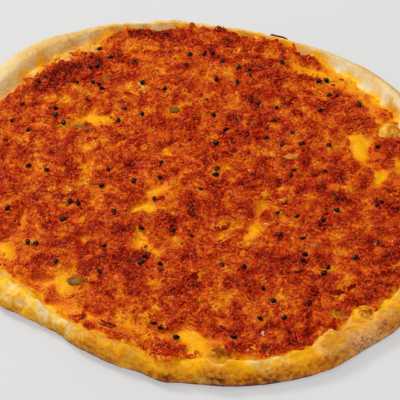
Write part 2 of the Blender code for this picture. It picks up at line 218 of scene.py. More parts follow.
# %% Outline and rim
MEAN_RADIUS = 108.8
OVAL_STRETCH, OVAL_AT = 6.4, math.radians(-33.5)
THREE_LOBES, THREE_LOBES_AT = 2.3, math.radians(30)
FOUR_LOBES, FOUR_LOBES_AT = 1.0, math.radians(29)
SWELLS = (  # degrees round, degrees wide, how far outward; a crease is negative
    (-85, 50, 1.2), (-97, 3.5, 1.5), (-63, 5, 0.7), (-43, 7, 1.5), (-124, 3, -1.2), (39, 7, 1.0),
    (63, 4, -0.9), (135, 9, 1.2), (-147, 11, 6.0),
)
RIM_WIDTHS = (  # degrees round from +X, width of the bare rim
    (-165, 8.5), (-146, 14.0), (-120, 8.2), (-108, 10.2), (-98, 8.6), (-88, 13.4), (-76, 12.0), (-64, 12.6),
    (-53, 14.0), (-42, 11.0), (-15, 11.0), (16, 13.5), (32, 11.6), (45, 10.0), (56, 6.5), (68, 4.0),
    (82, 5.0), (96, 7.5), (107, 5.2), (118, 10.5), (131, 14.8), (143, 16.2), (157, 12.0), (174, 9.5),
)
BLEND = math.radians(5.5)  # how far round the bread a stated value reaches
RIM_LOWEST, RIM_RISE_PER_WIDTH = 5.9, 0.26
RIM_LUMPS, RIM_LUMP_LENGTH = 0.6, 15


def turned_from(theta, at):
    """The angle from one direction to another, between -pi and pi."""
    return (theta - at + math.pi) % (2 * math.pi) - math.pi


def round_about(theta, bands):
    """The strength of the bands at a direction, added up: each fades with the angle from its middle."""
    total = 0
    for at, wide, strength in bands:
        total = total + strength * np.exp(-((turned_from(theta, math.radians(at)) / math.radians(wide)) ** 2))
    return total


def blended(theta, rows):
    """The stated values for a direction: the mean of the rows, each weighted by how near its direction is."""
    total = weights = 0
    for at, *values in rows:
        weight = np.exp(-((turned_from(theta, math.radians(at)) / BLEND) ** 2) / 2) + 1e-9
        total, weights = total + weight[..., None] * np.array(values), weights + weight
    return np.moveaxis(total / weights[..., None], -1, 0)


def outer_radius(theta):
    """The bread's outline: a mean radius, an oval stretch, a few lobes, swells and creases."""
    radius = (
        MEAN_RADIUS
        + OVAL_STRETCH * np.cos(2 * (theta - OVAL_AT))
        + THREE_LOBES * np.cos(3 * (theta - THREE_LOBES_AT))
        + FOUR_LOBES * np.cos(4 * (theta - FOUR_LOBES_AT))
    )
    return radius + round_about(theta, SWELLS)


def rim_width(theta):
    """The stated width of the bare rim in a direction."""
    return blended(theta, RIM_WIDTHS)[0]


def rim_height(theta):
    """A wider rim has puffed higher. Lumps run along it."""
    x, y = MEAN_RADIUS * np.cos(theta), MEAN_RADIUS * np.sin(theta)
    lumps = RIM_LUMPS * soft_noise(x, y, RIM_LUMP_LENGTH, 3)
    return RIM_LOWEST + RIM_RISE_PER_WIDTH * rim_width(theta) + lumps


compass = np.radians(np.arange(0, 360, 90))
print("outline at right, back, left, front:", outer_radius(compass).round(1))

# %% [markdown]
# ## The dough's upper side
# The dough is a flat floor with a rim round it. The rim could be a bent pipe laid on a disc, but on a real
# bread both are one sheet: it climbs from the spread's edge in an even S, has its crest a little nearer to
# the inside, and falls in a quarter of an ellipse to where it is widest. So its height is a formula of how
# far across the rim a point is.

# %% Plain dough
FLOOR_THICKNESS, FLOOR_WAVES, FLOOR_WAVE_LENGTH = 4.2, 0.35, 34
CREST_AT = 0.46  # share of the rim's width, from the spread's edge
WIDEST_AT = 0.40  # share of the rim's height


def floor_height(x, y):
    """The floor's thickness, with long low waves."""
    return FLOOR_THICKNESS + FLOOR_WAVES * soft_noise(x, y, FLOOR_WAVE_LENGTH, 1)


def rim_share(x, y):
    """0 at the spread's edge and 1 at the outline, across the rim."""
    theta = np.arctan2(y, x)
    width = rim_width(theta)
    return (np.hypot(x, y) - outer_radius(theta) + width) / width


def plain_dough_height(x, y):
    """The floor, an eased slope up to the rim's crest, then a quarter ellipse down to the side's widest."""
    crest, share, floor = rim_height(np.arctan2(y, x)), np.clip(rim_share(x, y), 0, 1), floor_height(x, y)
    inner = floor + (crest - floor) * (1 - np.cos(math.pi * np.clip(share / CREST_AT, 0, 1))) / 2
    beyond = np.clip((share - CREST_AT) / (1 - CREST_AT), 0, 1)
    outer = crest * (WIDEST_AT + (1 - WIDEST_AT) * np.sqrt(1 - beyond**2))
    return np.where(share < CREST_AT, inner, outer)


def oval_distance(x, y, place, grow=0.0):
    """How far out a point is from an oval's middle: 1 on its outline."""
    cx, cy, length, width, turn = place[:5]
    cos, sin = math.cos(math.radians(turn)), math.sin(math.radians(turn))
    along = ((x - cx) * cos + (y - cy) * sin) / (length / 2 + grow)
    across = ((y - cy) * cos - (x - cx) * sin) / (width / 2 + grow)
    return np.hypot(along, across)


print("floor and crest in front:", plain_dough_height(np.zeros(2), np.array([-60.0, -103.0])).round(2))

# %% [markdown]
# ## Bubbles, folds and crumples
# Steam lifts the dough in places: long low swellings on the floor, which push up through the spread, and
# shorter ones on the rim, which also has folds from the hand that pressed it out. Each is a dome over an
# oval: its height falls with a power of the way out, 1 for a soft dome and a half for a ball. A soft
# maximum joins the domes to the dough and rounds the crease where they meet. The rim's inner side is
# crumpled besides, because its skin shrank: how far noise is from 0 makes those small folds, so that they
# have sharp crests.

# %% Bubbles and folds
BUBBLE_SINK = 1.2
FLOOR_BUBBLES = (  # x, y, length, width, turn in degrees, rise
    (72, 20, 20, 8, 104, 1.7), (79, 1, 10, 6, 80, 1.5), (-24, -21, 9, 8, 20, 1.5),
    (-19, -41, 15, 6.5, -47, 1.6), (-47, 35, 14, 7, 17, 1.4), (25, -32, 12, 6, 96, 1.5),
    (27, -16, 9, 6, 60, 1.3), (-80, -43, 13, 8, -60, 1.6), (-56, -57, 13, 7, -10, 1.4),
    (0, -86, 15, 8, -38, 1.6), (-14, 17, 10, 6, 30, 1.2),
)
RIM_BUBBLES = (
    (8.5, -99.5, 8, 7.5, 0, 2.6), (66, -77, 11.5, 10, 30, 2.6), (55, -75, 5, 4.5, 0, 1.6),
    (90, 31, 10.5, 9.5, 0, 2.4), (86, -64, 13, 8, 70, 2.0), (50, -92, 17, 9, -58, 1.9),
    (-53, 86, 9, 6, 35, 1.4), (-66, 78, 7, 5, 45, 1.1), (103, -14, 9, 7, 80, 1.7), (-103, 8, 11, 7, 85, 1.5),
    (-86, 50, 8, 5.5, 60, 1.2),
)
RIM_FOLDS = (
    (-84, -57, 16, 7, -56, 1.8), (-62, -76, 12, 7, -60, 2.2), (-44, -90, 15, 7, -40, 2.4),
    (-26, -98, 12, 6, -36, 1.9), (24, -104, 11, 7, 6, 1.3), (38, -99, 9, 6, 18, 1.2),
    (78, -71, 13, 7, 52, 1.4), (-93, -40, 13, 6, -65, 1.1), (-8, -106, 9, 6, 0, 1.0),
    (14, -105, 7, 5, 0, 0.9),
)
BUBBLE_WARP, BUBBLE_WARP_LENGTH = 0.16, 5.0  # how uneven a bubble's outline is, and over what length
BUBBLE_SHAPES = (  # bubbles, power of the profile, share of the rise, rounding of the foot
    (FLOOR_BUBBLES, 1.0, 0.7, 0.5),
    (RIM_BUBBLES[:4], 0.5, 0.5, 0.4),  # low ones, under the four round blisters below
    (RIM_BUBBLES[4:], 0.5, 1.1, 0.5),
    (RIM_FOLDS, 0.8, 1.0, 0.4),
)
CRUMPLES = ((5.5, 0.85), (2.6, 0.5))  # length, height
CRUMPLE_CREST, CRUMPLE_FALL = 0.5, 1.5  # on the fold's line, and how steeply it falls beside it
CRUMPLE_MEAN, CRUMPLE_SWING, CRUMPLE_SWING_LENGTH = 0.75, 0.4, 17  # how they come and go
SMOOTH_RIM = ((142, 24, 0.7), (42, 22, 0.7))  # degrees round, degrees wide, how much smoother
ROUGH_RIM = ((-128, 24, 0.9),)  # the same, how much rougher


def crumpled(x, y):
    """Small folds along the rim's inner side, less where it is smooth. They come and go round the bread."""
    share, theta = rim_share(x, y), np.arctan2(y, x)
    smooth = round_about(theta, SMOOTH_RIM) * eased(-0.1, 0.25, share)
    zone = eased(-0.7, 0.0, share) * eased(0.62, 0.25, share) * (1 - smooth)
    zone = zone * (CRUMPLE_MEAN + CRUMPLE_SWING * soft_noise(x, y, CRUMPLE_SWING_LENGTH, 28))
    folds = 0
    for number, (size, high) in enumerate(CRUMPLES):
        away = np.abs(soft_noise(x, y, size, 25 + number))
        folds = folds + high * (CRUMPLE_CREST - CRUMPLE_FALL * away)
    return zone * folds


def dough_height(x, y):
    """The plain dough, or the top of a bubble where that is higher, with the crease between them rounded."""
    plain = plain_dough_height(x, y) + crumpled(x, y)
    warp = 1 + BUBBLE_WARP * soft_noise(x, y, BUBBLE_WARP_LENGTH, 21)
    rise = np.zeros_like(plain)
    for places, power, share, rounding in BUBBLE_SHAPES:
        for place in places:
            inside = np.clip(1 - (oval_distance(x, y, place) * warp) ** 2, 0, 1) ** power
            above = (share * place[5] + BUBBLE_SINK) * inside - BUBBLE_SINK
            rise = np.maximum(rise, (above + np.sqrt(above**2 + rounding**2)) / 2)
    return plain + rise


print("crest of the rim in front:", dough_height(np.array([20.0]), np.array([-103.0])).round(2))

# %% [markdown]
# ## Blisters
# Where the oven was hottest, thin skin blew up into small round blisters, whose sides stand upright or even
# overhang, and whose caps browned first. A height over the table can't overhang, so the skin is wrapped
# over a squashed ball instead: the way out from the blister's middle becomes the turn from the ball's top.
# Flat ones are the edges of folds, and the flatter one is, the more it is crumpled. Toast rises towards the
# cap, in specks, and the oil that ran off the paste collects round the foot.

# %% Blisters
# x, y, length, width, half the height, turn, rise of the middle, wrap in degrees, toast of side and cap, oil
BLISTERS = (
    (8.4, -100.6, 7.8, 7.2, 3.2, 0, 1.7, 122, 0.16, 0.82, 1.00),
    (66.8, -79.0, 10.5, 9.0, 3.4, 30, 0.8, 90, 0.14, 0.92, 0.98),
    (58.2, -77.0, 4.6, 3.8, 1.3, 0, 0.7, 90, 0.50, 0.76, 0.80),
    (87.6, 28.0, 9.8, 8.8, 3.4, 0, 0.8, 100, 0.08, 0.60, 0.85),
    (53.4, -92.6, 14.0, 10.0, 3.4, 32, -1.0, 72, 0.16, 0.44, 0.85),
    (-53.0, 84.4, 11.0, 5.6, 1.6, 25, 0.4, 80, 0.20, 0.30, 0.85),
    (-63.0, 78.6, 9.6, 4.4, 1.0, 38, 0.3, 78, 0.14, 0.22, 0.75),
    (-75.0, 69.5, 12.0, 3.8, 0.9, 46, 0.2, 78, 0.14, 0.22, 0.90),
)
BLISTER_REACH = 1.4  # how much wider than the blister the skin is that wraps it
BLISTER_LUMPS = ((3.4, 0.30), (1.6, 0.26))  # length, share of the blister's size
BLISTER_SPECKS = ((5.0, 0.45), (1.8, 0.3), (0.9, 0.4))  # length, how much
CRUMPLE_OF_FLAT, CRUMPLE_PER_HEIGHT = 1.5, 0.33  # a blister that hardly rose is the most crumpled
OIL_MOTTLE, OIL_MOTTLE_LENGTH = 0.7, 2.6
BROWN_FROM, BROWN_FULL = 0.2, 0.95  # the cosine of the turn from the ball's top


def blistered(points):
    """Wraps the skin over each ball, up to its wrap at the blister's reach. Returns the points, and for each
    of them how much of it belongs to a blister, and that blister's toast and oil."""
    belongs, toast, oil = np.zeros((3, *points.shape[:-1]))
    for x, y, length, width, high, turn, rise, wrap, side, cap, oily in BLISTERS:
        away = oval_distance(points[..., 0], points[..., 1], (x, y, length, width, turn))
        polar = math.radians(wrap) * np.clip(away / BLISTER_REACH, 0, 1)
        crumple = CRUMPLE_OF_FLAT - CRUMPLE_PER_HEIGHT * high
        lumps = 1 + crumple * sum(share * solid_noise(points, size, 140) for size, share in BLISTER_LUMPS)
        grow = np.sin(polar) / np.maximum(away, 1e-6) * lumps
        low = plain_dough_height(np.array([x]), np.array([y]))[0] + rise
        ball_x, ball_y = x + (points[..., 0] - x) * grow, y + (points[..., 1] - y) * grow
        wrapped = np.stack([ball_x, ball_y, low + high * np.cos(polar) * lumps], -1)
        part = eased(1.0, 0.72, away / BLISTER_REACH)
        points = points + (wrapped - points) * part[..., None]
        specks = sum(share * solid_noise(points, size, 142) for size, share in BLISTER_SPECKS)
        browned = side + (cap - side) * eased(BROWN_FROM, BROWN_FULL, np.cos(polar) + specks)
        stained = np.clip(oily + OIL_MOTTLE * crumple * solid_noise(points, OIL_MOTTLE_LENGTH, 144), 0, 1)
        toast, oil = toast + (browned - toast) * part, oil + (stained - oil) * part
        belongs = np.maximum(belongs, part)
    return points, belongs, toast, oil


print("blisters:", len(BLISTERS), "the widest measures", max(row[2] for row in BLISTERS), "mm")

# %% [markdown]
# ## Where the paste lies
# Seen from above, the spread is patchy. Thick clumps are deep red, a thin smear lets the oil-stained dough
# shine through as orange, and over a bubble there is hardly any, so it is yellow. All of that follows from
# one number, the cover: 0 where the dough is bare and 1 where the paste is thick. It is a base value with
# lumps of several sizes, raised and lowered by ovals set where the real bread has its clumps and thin
# places. The ovals' outlines are bent by noise, so that none of them reads as an oval.

# %% Clumps and thin places
THIN_PLACES = (  # x, y, length, width, turn in degrees, how much thinner
    (72, 20, 22, 10, 104, 1.4), (77.5, 1, 15, 8, 84, 1.4), (63, 18, 9, 11, 60, 0.5),
    (-23, -20, 14, 12, 20, 1.7), (-19, -41, 18, 9, -50, 1.6), (-47, 35, 19, 10, 14, 1.4),
    (24, -32, 13, 7, 96, 1.2), (28, -17, 10, 8, 60, 1.2), (-79, -44, 17, 11, -60, 1.4),
    (-58, -60, 19, 12, -15, 1.9), (-1, -90, 21, 10, -50, 1.4), (-16, 17, 14, 8, 25, 1.35),
    (-18, 5, 6, 9, 80, 0.5), (16, 7, 10, 6, 80, 0.9), (-42, -8, 16, 9, 15, 0.65), (-47, 4, 12, 6, 85, 0.5),
    (-19, -8, 14, 12, 70, 0.55), (12, -70, 22, 9, 98, 0.9), (-14, -33, 6, 5, 0, 0.55),
    (50, 70, 26, 11, -25, 1.1), (66, 60, 22, 11, -45, 0.9), (82, 42, 24, 10, -68, 0.8),
    (40, 78, 14, 8, -35, 0.3), (-73, -25, 20, 9, 80, 0.8), (2, 62, 14, 9, 75, 0.9), (6, 38, 15, 7, 70, 0.6),
    (15, 45, 12, 7, 20, 0.6), (-30, 80, 17, 7, 0, 0.55), (-9, 44, 16, 10, 20, 0.45),
    (-84, 28, 20, 9, 85, 0.6), (-64, 62, 16, 8, 20, 0.1), (-60, 46, 14, 9, -30, 0.4),
    (-43, -74, 22, 9, -20, 0.9), (-16, -87, 34, 13, -10, 0.75), (29, -78, 14, 8, 75, 0.3),
    (74, -13, 15, 9, 95, 0.4), (62, -43, 10, 8, 40, 0.5), (63, -60, 13, 7, 70, 0.45),
    (-66, -64, 16, 9, -35, 0.45), (35, 48, 8, 6, 0, 0.3), (-38, 20, 14, 9, 60, 0.35),
    (-70, 5, 14, 9, 75, 0.4), (12, -8, 12, 8, 60, 0.4), (90, -25, 14, 8, 85, 0.45), (95, 15, 16, 8, 80, 0.6),
    (-97, -20, 18, 8, 85, 0.5), (12, -82, 14, 11, 70, 0.65), (-50, -38, 16, 9, 85, 1.0),
    (-49, -19, 15, 10, 30, 0.8), (-45, -63, 13, 9, 0, 0.5), (-22, -9, 12, 9, 40, 0.85),
    (60, 30, 13, 10, 0, 0.5), (31, -79, 12, 10, 70, 0.4), (84, -14, 18, 9, 80, 0.5),
    (24, -24, 9, 6, 90, 0.6), (-3, -97, 9, 6, 0, 1.2), (-55, -74, 12, 8, -40, 0.8),
    (69, -33, 11, 8, 80, 0.8),
)
THICK_PLACES = (  # the same, how much thicker
    (-68, 60, 30, 13, 42, 1.6), (-48, 73, 26, 14, 22, 1.6), (-35, 92, 16, 9, 20, 0.35),
    (5, 96, 22, 11, 0, 0.4), (-14, 94, 16, 7, 0, 0.3), (-59, 14, 24, 9, 85, 0.5),
    (-31, 44, 20, 12, 80, 0.35), (-28, -51, 26, 16, -10, 0.35), (0, -62, 12, 8, 90, 0.5),
    (22, 28, 22, 14, 60, 0.35), (-1, -24, 24, 14, 80, 0.6), (9, -26, 10, 8, 0, 0.4),
    (56, -20, 24, 16, 0, 0.4), (58, 45, 22, 14, -20, 0.35), (34, 58, 16, 12, 70, 0.35),
    (30, -55, 26, 16, 20, 0.3), (73, -71, 20, 10, 70, 0.55), (20, -93, 26, 7, 6, 0.5),
    (78, -50, 18, 10, 60, 0.45), (-69, -47, 10, 8, 0, 0.4), (45, 5, 22, 16, 40, 0.3),
    (5, 10, 16, 10, 80, 0.35), (45, -80, 26, 10, 25, 0.3), (-12, -98, 16, 8, -20, 0.5),
    (92, 8, 14, 6, 85, 0.3), (-88, 5, 20, 10, 85, 0.3), (13, -96, 9, 6, 0, 1.2), (8, -40, 40, 12, 0, 0.65),
    (54, 6, 36, 10, -42, 0.65), (22, 13, 15, 11, 80, 0.7), (41, 19, 10, 8, 0, 0.5),
    (3, -55, 15, 11, 80, 0.5), (-57, 41, 18, 8, 40, 0.5), (-41, 24, 18, 7, -10, 0.4),
    (-70, -8, 20, 13, 80, 0.6), (-68, 11, 16, 12, 60, 0.45), (42, 38, 13, 10, 30, 0.45),
    (-32, -23, 14, 11, 60, 0.5), (-12, 69, 14, 8, 80, 0.4), (66, -5, 12, 10, 0, 0.6),
    (-80, -16, 12, 10, 0, 0.4),
)
COVER_BASE, THICKENING, THINNING = 0.67, 0.8, 0.78
COVER_LUMPS = ((24, 0.14), (11, 0.24), (5.5, 0.24), (2.8, 0.10))  # length, how much
OUTLINE_BENDS = ((9, 3.0), (4, 1.8), (2, 0.7))  # length of the bend, how far it moves the outline
OVAL_FADE = 1.3  # how sharply an oval's amount falls


def bent(x, y):
    """The point moved a little by noise, so that ovals get uneven outlines."""
    for number, (length, reach) in enumerate(OUTLINE_BENDS):
        shift_x = reach * soft_noise(x, y, length, 30 + number)
        shift_y = reach * soft_noise(x, y, length, 40 + number)
        x, y = x + shift_x, y + shift_y
    return x, y


def patches(x, y, places):
    """Each place's amount, full in its middle and gone a little outside its outline, the amounts added up."""
    bent_x, bent_y = bent(x, y)
    total = np.zeros_like(x)
    for place in places:
        total = total + place[5] * np.exp(-(oval_distance(bent_x, bent_y, place) ** 2) * OVAL_FADE)
    return total


def uncut_cover(x, y):
    """The cover before it is cut at 0 and 1: base, lumps of several sizes, thick places less thin ones."""
    thick, thin = patches(x, y, THICK_PLACES), patches(x, y, THIN_PLACES)
    placed_by_hand = COVER_BASE + THICKENING * thick - THINNING * thin
    return layered(COVER_LUMPS, 60, soft_noise, x, y, start=placed_by_hand)


def filmed(x, y):
    """1 where at least a tinted film of paste lies, 0 on the clear tops of the bubbles."""
    return eased(-0.40, 0.08, uncut_cover(x, y))


sample = np.random.default_rng(1).uniform(-70, 70, (2, 4000))
print("share of the spread with a film at least:", filmed(*sample).mean().round(2))

# %% [markdown]
# ## The spread's edge
# The paste ends in a ragged line a little way up the rim's slope. It was pushed there with a spoon, so in
# some directions it climbs further and in others it stops short, and it runs round each blister. It thins
# out towards its edge, mostly within a millimetre or two, and over more where the spoon lifted. One number
# holds all of that: how far inside the edge a point is, in millimetres, negative past it.

# %% Edge and cover
SPREAD_EDGE_INSET, SPREAD_EDGE_WOBBLE, SPREAD_EDGE_WOBBLE_LENGTH = 0.985, 0.012, 9
EDGE_RAGS = ((5, 1.6), (2.3, 1.0))  # length of the rags, how far out they reach
EDGE_CLIMB = 1.7  # how far loose paste lies up the rim's slope, past the solid model's edge
FURTHER_CLIMBS = (  # degrees round, degrees wide, how much further
    (84, 8, 1.8), (108, 7, 1.4), (-97, 4.5, 6.0), (-72, 7, 0.8), (140, 12, -0.7), (120, 6, -1.0),
    (40, 10, -1.6),
)
BLISTER_MARGIN = 1.0  # the paste starts this far out from a blister's middle, in its own size
EDGE_FADE = 1.4  # how far inside its edge the paste has its full cover
# degrees round, degrees wide, how much longer
LONGER_FADES = ((44, 15, 5.0), (25, 8, 3.0), (-75, 8, 1.5), (72, 6, 1.5))


def spread_radius(theta):
    """The solid model's edge of the spread: just short of the rim, slightly uneven."""
    x, y = MEAN_RADIUS * np.cos(theta), MEAN_RADIUS * np.sin(theta)
    wobble = SPREAD_EDGE_INSET + SPREAD_EDGE_WOBBLE * soft_noise(x, y, SPREAD_EDGE_WOBBLE_LENGTH, 5)
    return (outer_radius(theta) - rim_width(theta)) * np.minimum(wobble, 1)


def reach_of_paste(theta):
    """How far out the loose paste lies in a direction."""
    return spread_radius(theta) + EDGE_CLIMB + round_about(theta, FURTHER_CLIMBS)


def inside_edge(x, y):
    """How far inside the spread's ragged edge a point is. The edge also runs round each blister."""
    inside = reach_of_paste(np.arctan2(y, x)) - np.hypot(x, y)
    for cx, cy, length, width, _, turn, *_ in BLISTERS:
        beside = (oval_distance(x, y, (cx, cy, length, width, turn)) - BLISTER_MARGIN) * width / 2
        inside = np.minimum(inside, beside)
    return layered(EDGE_RAGS, 50, soft_noise, x, y, start=inside)


def cover_at(x, y):
    """The paste's cover, from 0 to 1, with a fade at the edge."""
    fade = EDGE_FADE + round_about(np.arctan2(y, x), LONGER_FADES)
    return np.clip(uncut_cover(x, y), 0, 1) * eased(-1.0, fade, inside_edge(x, y))


def bareness(x, y):
    """1 past the spread's edge, 0 where there is paste or film."""
    return eased(-0.2, -1.6, inside_edge(x, y))


cover = cover_at(*sample)
print("mean cover:", cover.mean().round(2), "bare share:", (cover < 0.15).mean().round(3))

# %% [markdown]
# ## The paste's colour
# The paste has one pigment, and how much of it lies over the dough makes its colour: from yellow, where only
# oil has spread, through orange to a dark brick red. So a tone from 0 to 1 is worked out for each point. A
# film alone is orange, and paler towards its own edge, where the oil ran ahead of the paste. On folds it is
# paler on the crests and redder in the creases, partly thinner paste and partly painted highlight and shade.
# Full cover and clumps redden it, and lumps of a few millimetres break it up.

# %% Tone
FILM_TONE, COVER_TONE, CLUMP_TONE = 0.19, 0.42, 0.32  # what any film, full cover and thick clumps add
# fold crests paler and creases redder: partly thinner paste, partly painted highlight and painted shade
FOLD_THINNING_AND_LIGHT = 0.16  # how much paler the film is on each millimetre of fold
TONE_LUMPS = ((6.5, 0.14), (3.6, 0.20), (1.9, 0.08))  # length, how much
LUMPS_OF_FILM, LUMPS_OF_COVER = 0.4, 0.6  # how much of the lumps each brings in
YELLOW_EDGE = 0.8  # how far inside its edge the film has its full tone
# degrees round, degrees wide, how much further in
YELLOWER_EDGES = ((44, 22, 4.5), (135, 22, 2.0), (-95, 12, 1.5), (-60, 14, 2.0), (-163, 8, 3.0))


def tone_at(x, y):
    """What the film, the cover and the clumps add, less the folds' share, plus lumps where anything lies."""
    yellow = YELLOW_EDGE + round_about(np.arctan2(y, x), YELLOWER_EDGES)
    cover, film = cover_at(x, y), filmed(x, y) * eased(-1.0, yellow, inside_edge(x, y))
    lumps = layered(TONE_LUMPS, 130, soft_noise, x, y)
    clumps = np.clip(uncut_cover(x, y) - 1, 0, 0.6) * eased(0, 3, inside_edge(x, y))
    # the fold term paints crests lighter and creases darker, partly as painted highlight and shade
    tone = FILM_TONE * film + COVER_TONE * cover + CLUMP_TONE * clumps - FOLD_THINNING_AND_LIGHT * crumpled(x, y)
    lumpy = LUMPS_OF_FILM * film + LUMPS_OF_COVER * eased(0, 0.4, cover)
    return np.clip(tone + lumps * lumpy, 0, 1)


print("mean tone:", tone_at(*sample).mean().round(2))

# %% [markdown]
# ## How the crust is baked
# The rim tells where the heat came from. Its foot, on the hot floor, is brown, its crest golden, and the
# slope that faces the filling stays cream. Where the oil ran, it is stained yellow, and flour from the board
# is left in pale grains. Each of these is a value from 0 to 1 at every point of the dough: stated for a ring
# of directions, blended from one to the next, and then changed in ovals where the real crust differs.

# %% Toast, oil and flour
OILY_PLACES = (  # on the rim: x, y, length, width, turn, how much
    (62, -81, 15, 11, 10, 1.0), (81, -70, 24, 9, 80, 0.8), (-30, -96, 30, 8, -20, 0.65),
    (-52, -82, 14, 7, -35, 0.6), (-71, -62, 20, 8, -45, 0.75), (-12, -103, 12, 6, -20, 0.5),
    (22, 98, 16, 6, -20, 0.9), (-38, 98, 10, 6, 20, 0.9), (-18, 102, 9, 6, 0, 0.9), (2, 103, 14, 5, 0, 0.6),
    (48, 85, 13, 7, -45, 0.9), (82, 55, 8, 12, -20, 0.5), (90, 32, 12, 10, 0, 0.55),
    (62, 76, 6, 3, -30, 0.6), (-80, 61, 12, 5, 50, 0.5), (-52, 82, 10, 5, 30, 0.6),
    (30, -101, 34, 5, 12, 0.5), (-4, -98, 10, 5, -10, 0.3),
)
PALE_PLACES = (
    (-3, -100, 16, 5, -10, 0.8), (-57, -75, 10, 6, 0, 0.35), (-35, -91, 10, 6, -20, 0.4),
    (-53, 86, 10, 6, 35, 0.9), (-66, 78, 8, 5, 45, 0.8), (15, -103, 15, 5, 5, 0.6),
    (42, -94, 15, 5, 35, 0.7), (87, 51, 20, 8, -60, 0.8), (71, 68, 18, 8, -48, 0.8),
    (10, 103, 10, 4, 0, 0.5), (-30, 101, 8, 4, 0, 0.7), (30, 96, 9, 4, -30, 0.6),
    (-88, -58, 16, 9, -60, 0.4),
)
BROWN_PLACES = (
    (57, -93, 10, 8, 30, 0.5), (-16, -107, 6, 4, 0, 1.2), (90, 44, 10, 4, -60, 0.8),
    (-73, 77, 16, 8, 45, 0.2),
)
FLOURY_PLACES = ((69, -90, 22, 10, 38, 1.8), (-62, -78, 14, 6, -30, 0.5), (88, -55, 14, 6, 70, 0.4))
# In front, from about -108 to -35 degrees, the outer side and foot are stated browner than elsewhere: partly
# toast, partly painted shade on the side turned from the lamps.
# degrees round from +X, how toasted the inner slope, the crest, the outer side and the foot are, how oily
BAKED_AND_SHADED = (
    (-178, 0.26, 0.16, 0.20, 0.50, 0.15), (-150, 0.20, 0.14, 0.26, 0.75, 0.50),
    (-132, 0.22, 0.14, 0.26, 0.80, 0.85), (-120, 0.22, 0.14, 0.26, 0.85, 0.88),
    (-108, 0.38, 0.28, 0.42, 0.95, 0.95), (-96, 0.40, 0.24, 0.46, 1.00, 1.14),
    (-84, 0.40, 0.20, 0.50, 1.00, 1.12), (-72, 0.34, 0.16, 0.54, 1.00, 1.14),
    (-60, 0.20, 0.28, 0.60, 1.00, 1.16), (-48, 0.10, 0.36, 0.64, 0.98, 0.85),
    (-35, 0.14, 0.20, 0.56, 0.95, 1.00), (-15, 0.20, 0.26, 0.40, 0.60, 0.90),
    (10, 0.18, 0.22, 0.30, 0.40, 0.70), (24, 0.12, 0.16, 0.30, 0.45, 0.15),
    (36, 0.10, 0.30, 0.58, 0.50, 0.10), (48, 0.12, 0.28, 0.30, 0.45, 0.05),
    (60, 0.18, 0.16, 0.14, 0.30, 0.10), (72, 0.16, 0.12, 0.14, 0.30, 0.20),
    (84, 0.22, 0.20, 0.22, 0.30, 0.20), (96, 0.20, 0.16, 0.18, 0.30, 0.10),
    (108, 0.20, 0.14, 0.14, 0.30, 0.05), (120, 0.26, 0.28, 0.12, 0.30, 0.05),
    (132, 0.30, 0.26, 0.14, 0.30, 0.05), (144, 0.28, 0.18, 0.08, 0.30, 0.05),
    (162, 0.26, 0.20, 0.12, 0.30, 0.10),
)
TOAST_SPECKS = ((9, 0.13), (4.5, 0.10), (1.1, 0.18))  # length, how much
SPECKS_ANYWHERE, SPECKS_OF_TOAST = 0.3, 1.8  # specks are strongest where the crust is brown
GRAINY_RIM = ((-140, 24, 0.7), (-50, 8, 0.3))  # degrees round, degrees wide, how much grainier
# the fold term paints crests paler and creases browner: partly toast, partly painted highlight and shade
BROWNER, PALER, FOLD_PALING_AND_LIGHT, LESS_OILY = 0.3, 0.14, 0.2, 0.55  # what a full place or a fold changes
OIL_REACH, OIL_REACH_LUMPS = 1.5, ((12, 1.1, 75), (4, 1.3, 76), (2, 0.9, 79))  # length, how far, seed
OIL_FADE = 2.2  # half the width of the band in which the oil thins out
# degrees round, degrees wide, how much further the oil crept up
OIL_CREEP = ((42, 20, 1.4), (66, 8, 0.8), (132, 16, 0.5), (-120, 18, 2.6), (-60, 10, 2.2))
OIL_PATCHES = ((6, 0.7, 78), (2.4, 0.6, 74))  # length, share, seed
FLOUR_DUST, FLOUR_DUST_LUMPS, FLOUR_DUST_LENGTH, FLOUR_IN_PLACES = 0.03, 0.05, 14, 0.5


def toast_at(points):
    """How toasted the dough is: it eases from the inner slope over the crest and the outer side to the foot,
    each as baked in that direction. Noise breaks it all up."""
    x, y, z = points[..., 0], points[..., 1], points[..., 2]
    theta, share = np.arctan2(y, x), rim_share(x, y)
    slope, crest, side, foot, _ = blended(theta, BAKED_AND_SHADED)
    low = np.clip(1 - z / (rim_height(theta) * WIDEST_AT), 0, 1) * (share > 0.5)
    toast = slope + (crest - slope) * eased(0.1, 0.45, share) + (side - crest) * eased(0.55, 1.02, share)
    toast = toast + (foot - side) * eased(-0.15, 0.7, low)
    # fold crests painted paler and creases browner, partly as painted highlight and painted shade
    toast = toast + BROWNER * patches(x, y, BROWN_PLACES) - FOLD_PALING_AND_LIGHT * crumpled(x, y)
    grainy = round_about(theta, GRAINY_RIM) * (share > 0)
    for number, (length, amount) in enumerate(TOAST_SPECKS):
        speck = amount * solid_noise(points, length, 71 + number) * (1 - round_about(theta, SMOOTH_RIM))
        toast = toast + speck * (SPECKS_ANYWHERE + SPECKS_OF_TOAST * toast + grainy)
    return np.clip(toast - PALER * patches(x, y, PALE_PLACES), 0, 1)


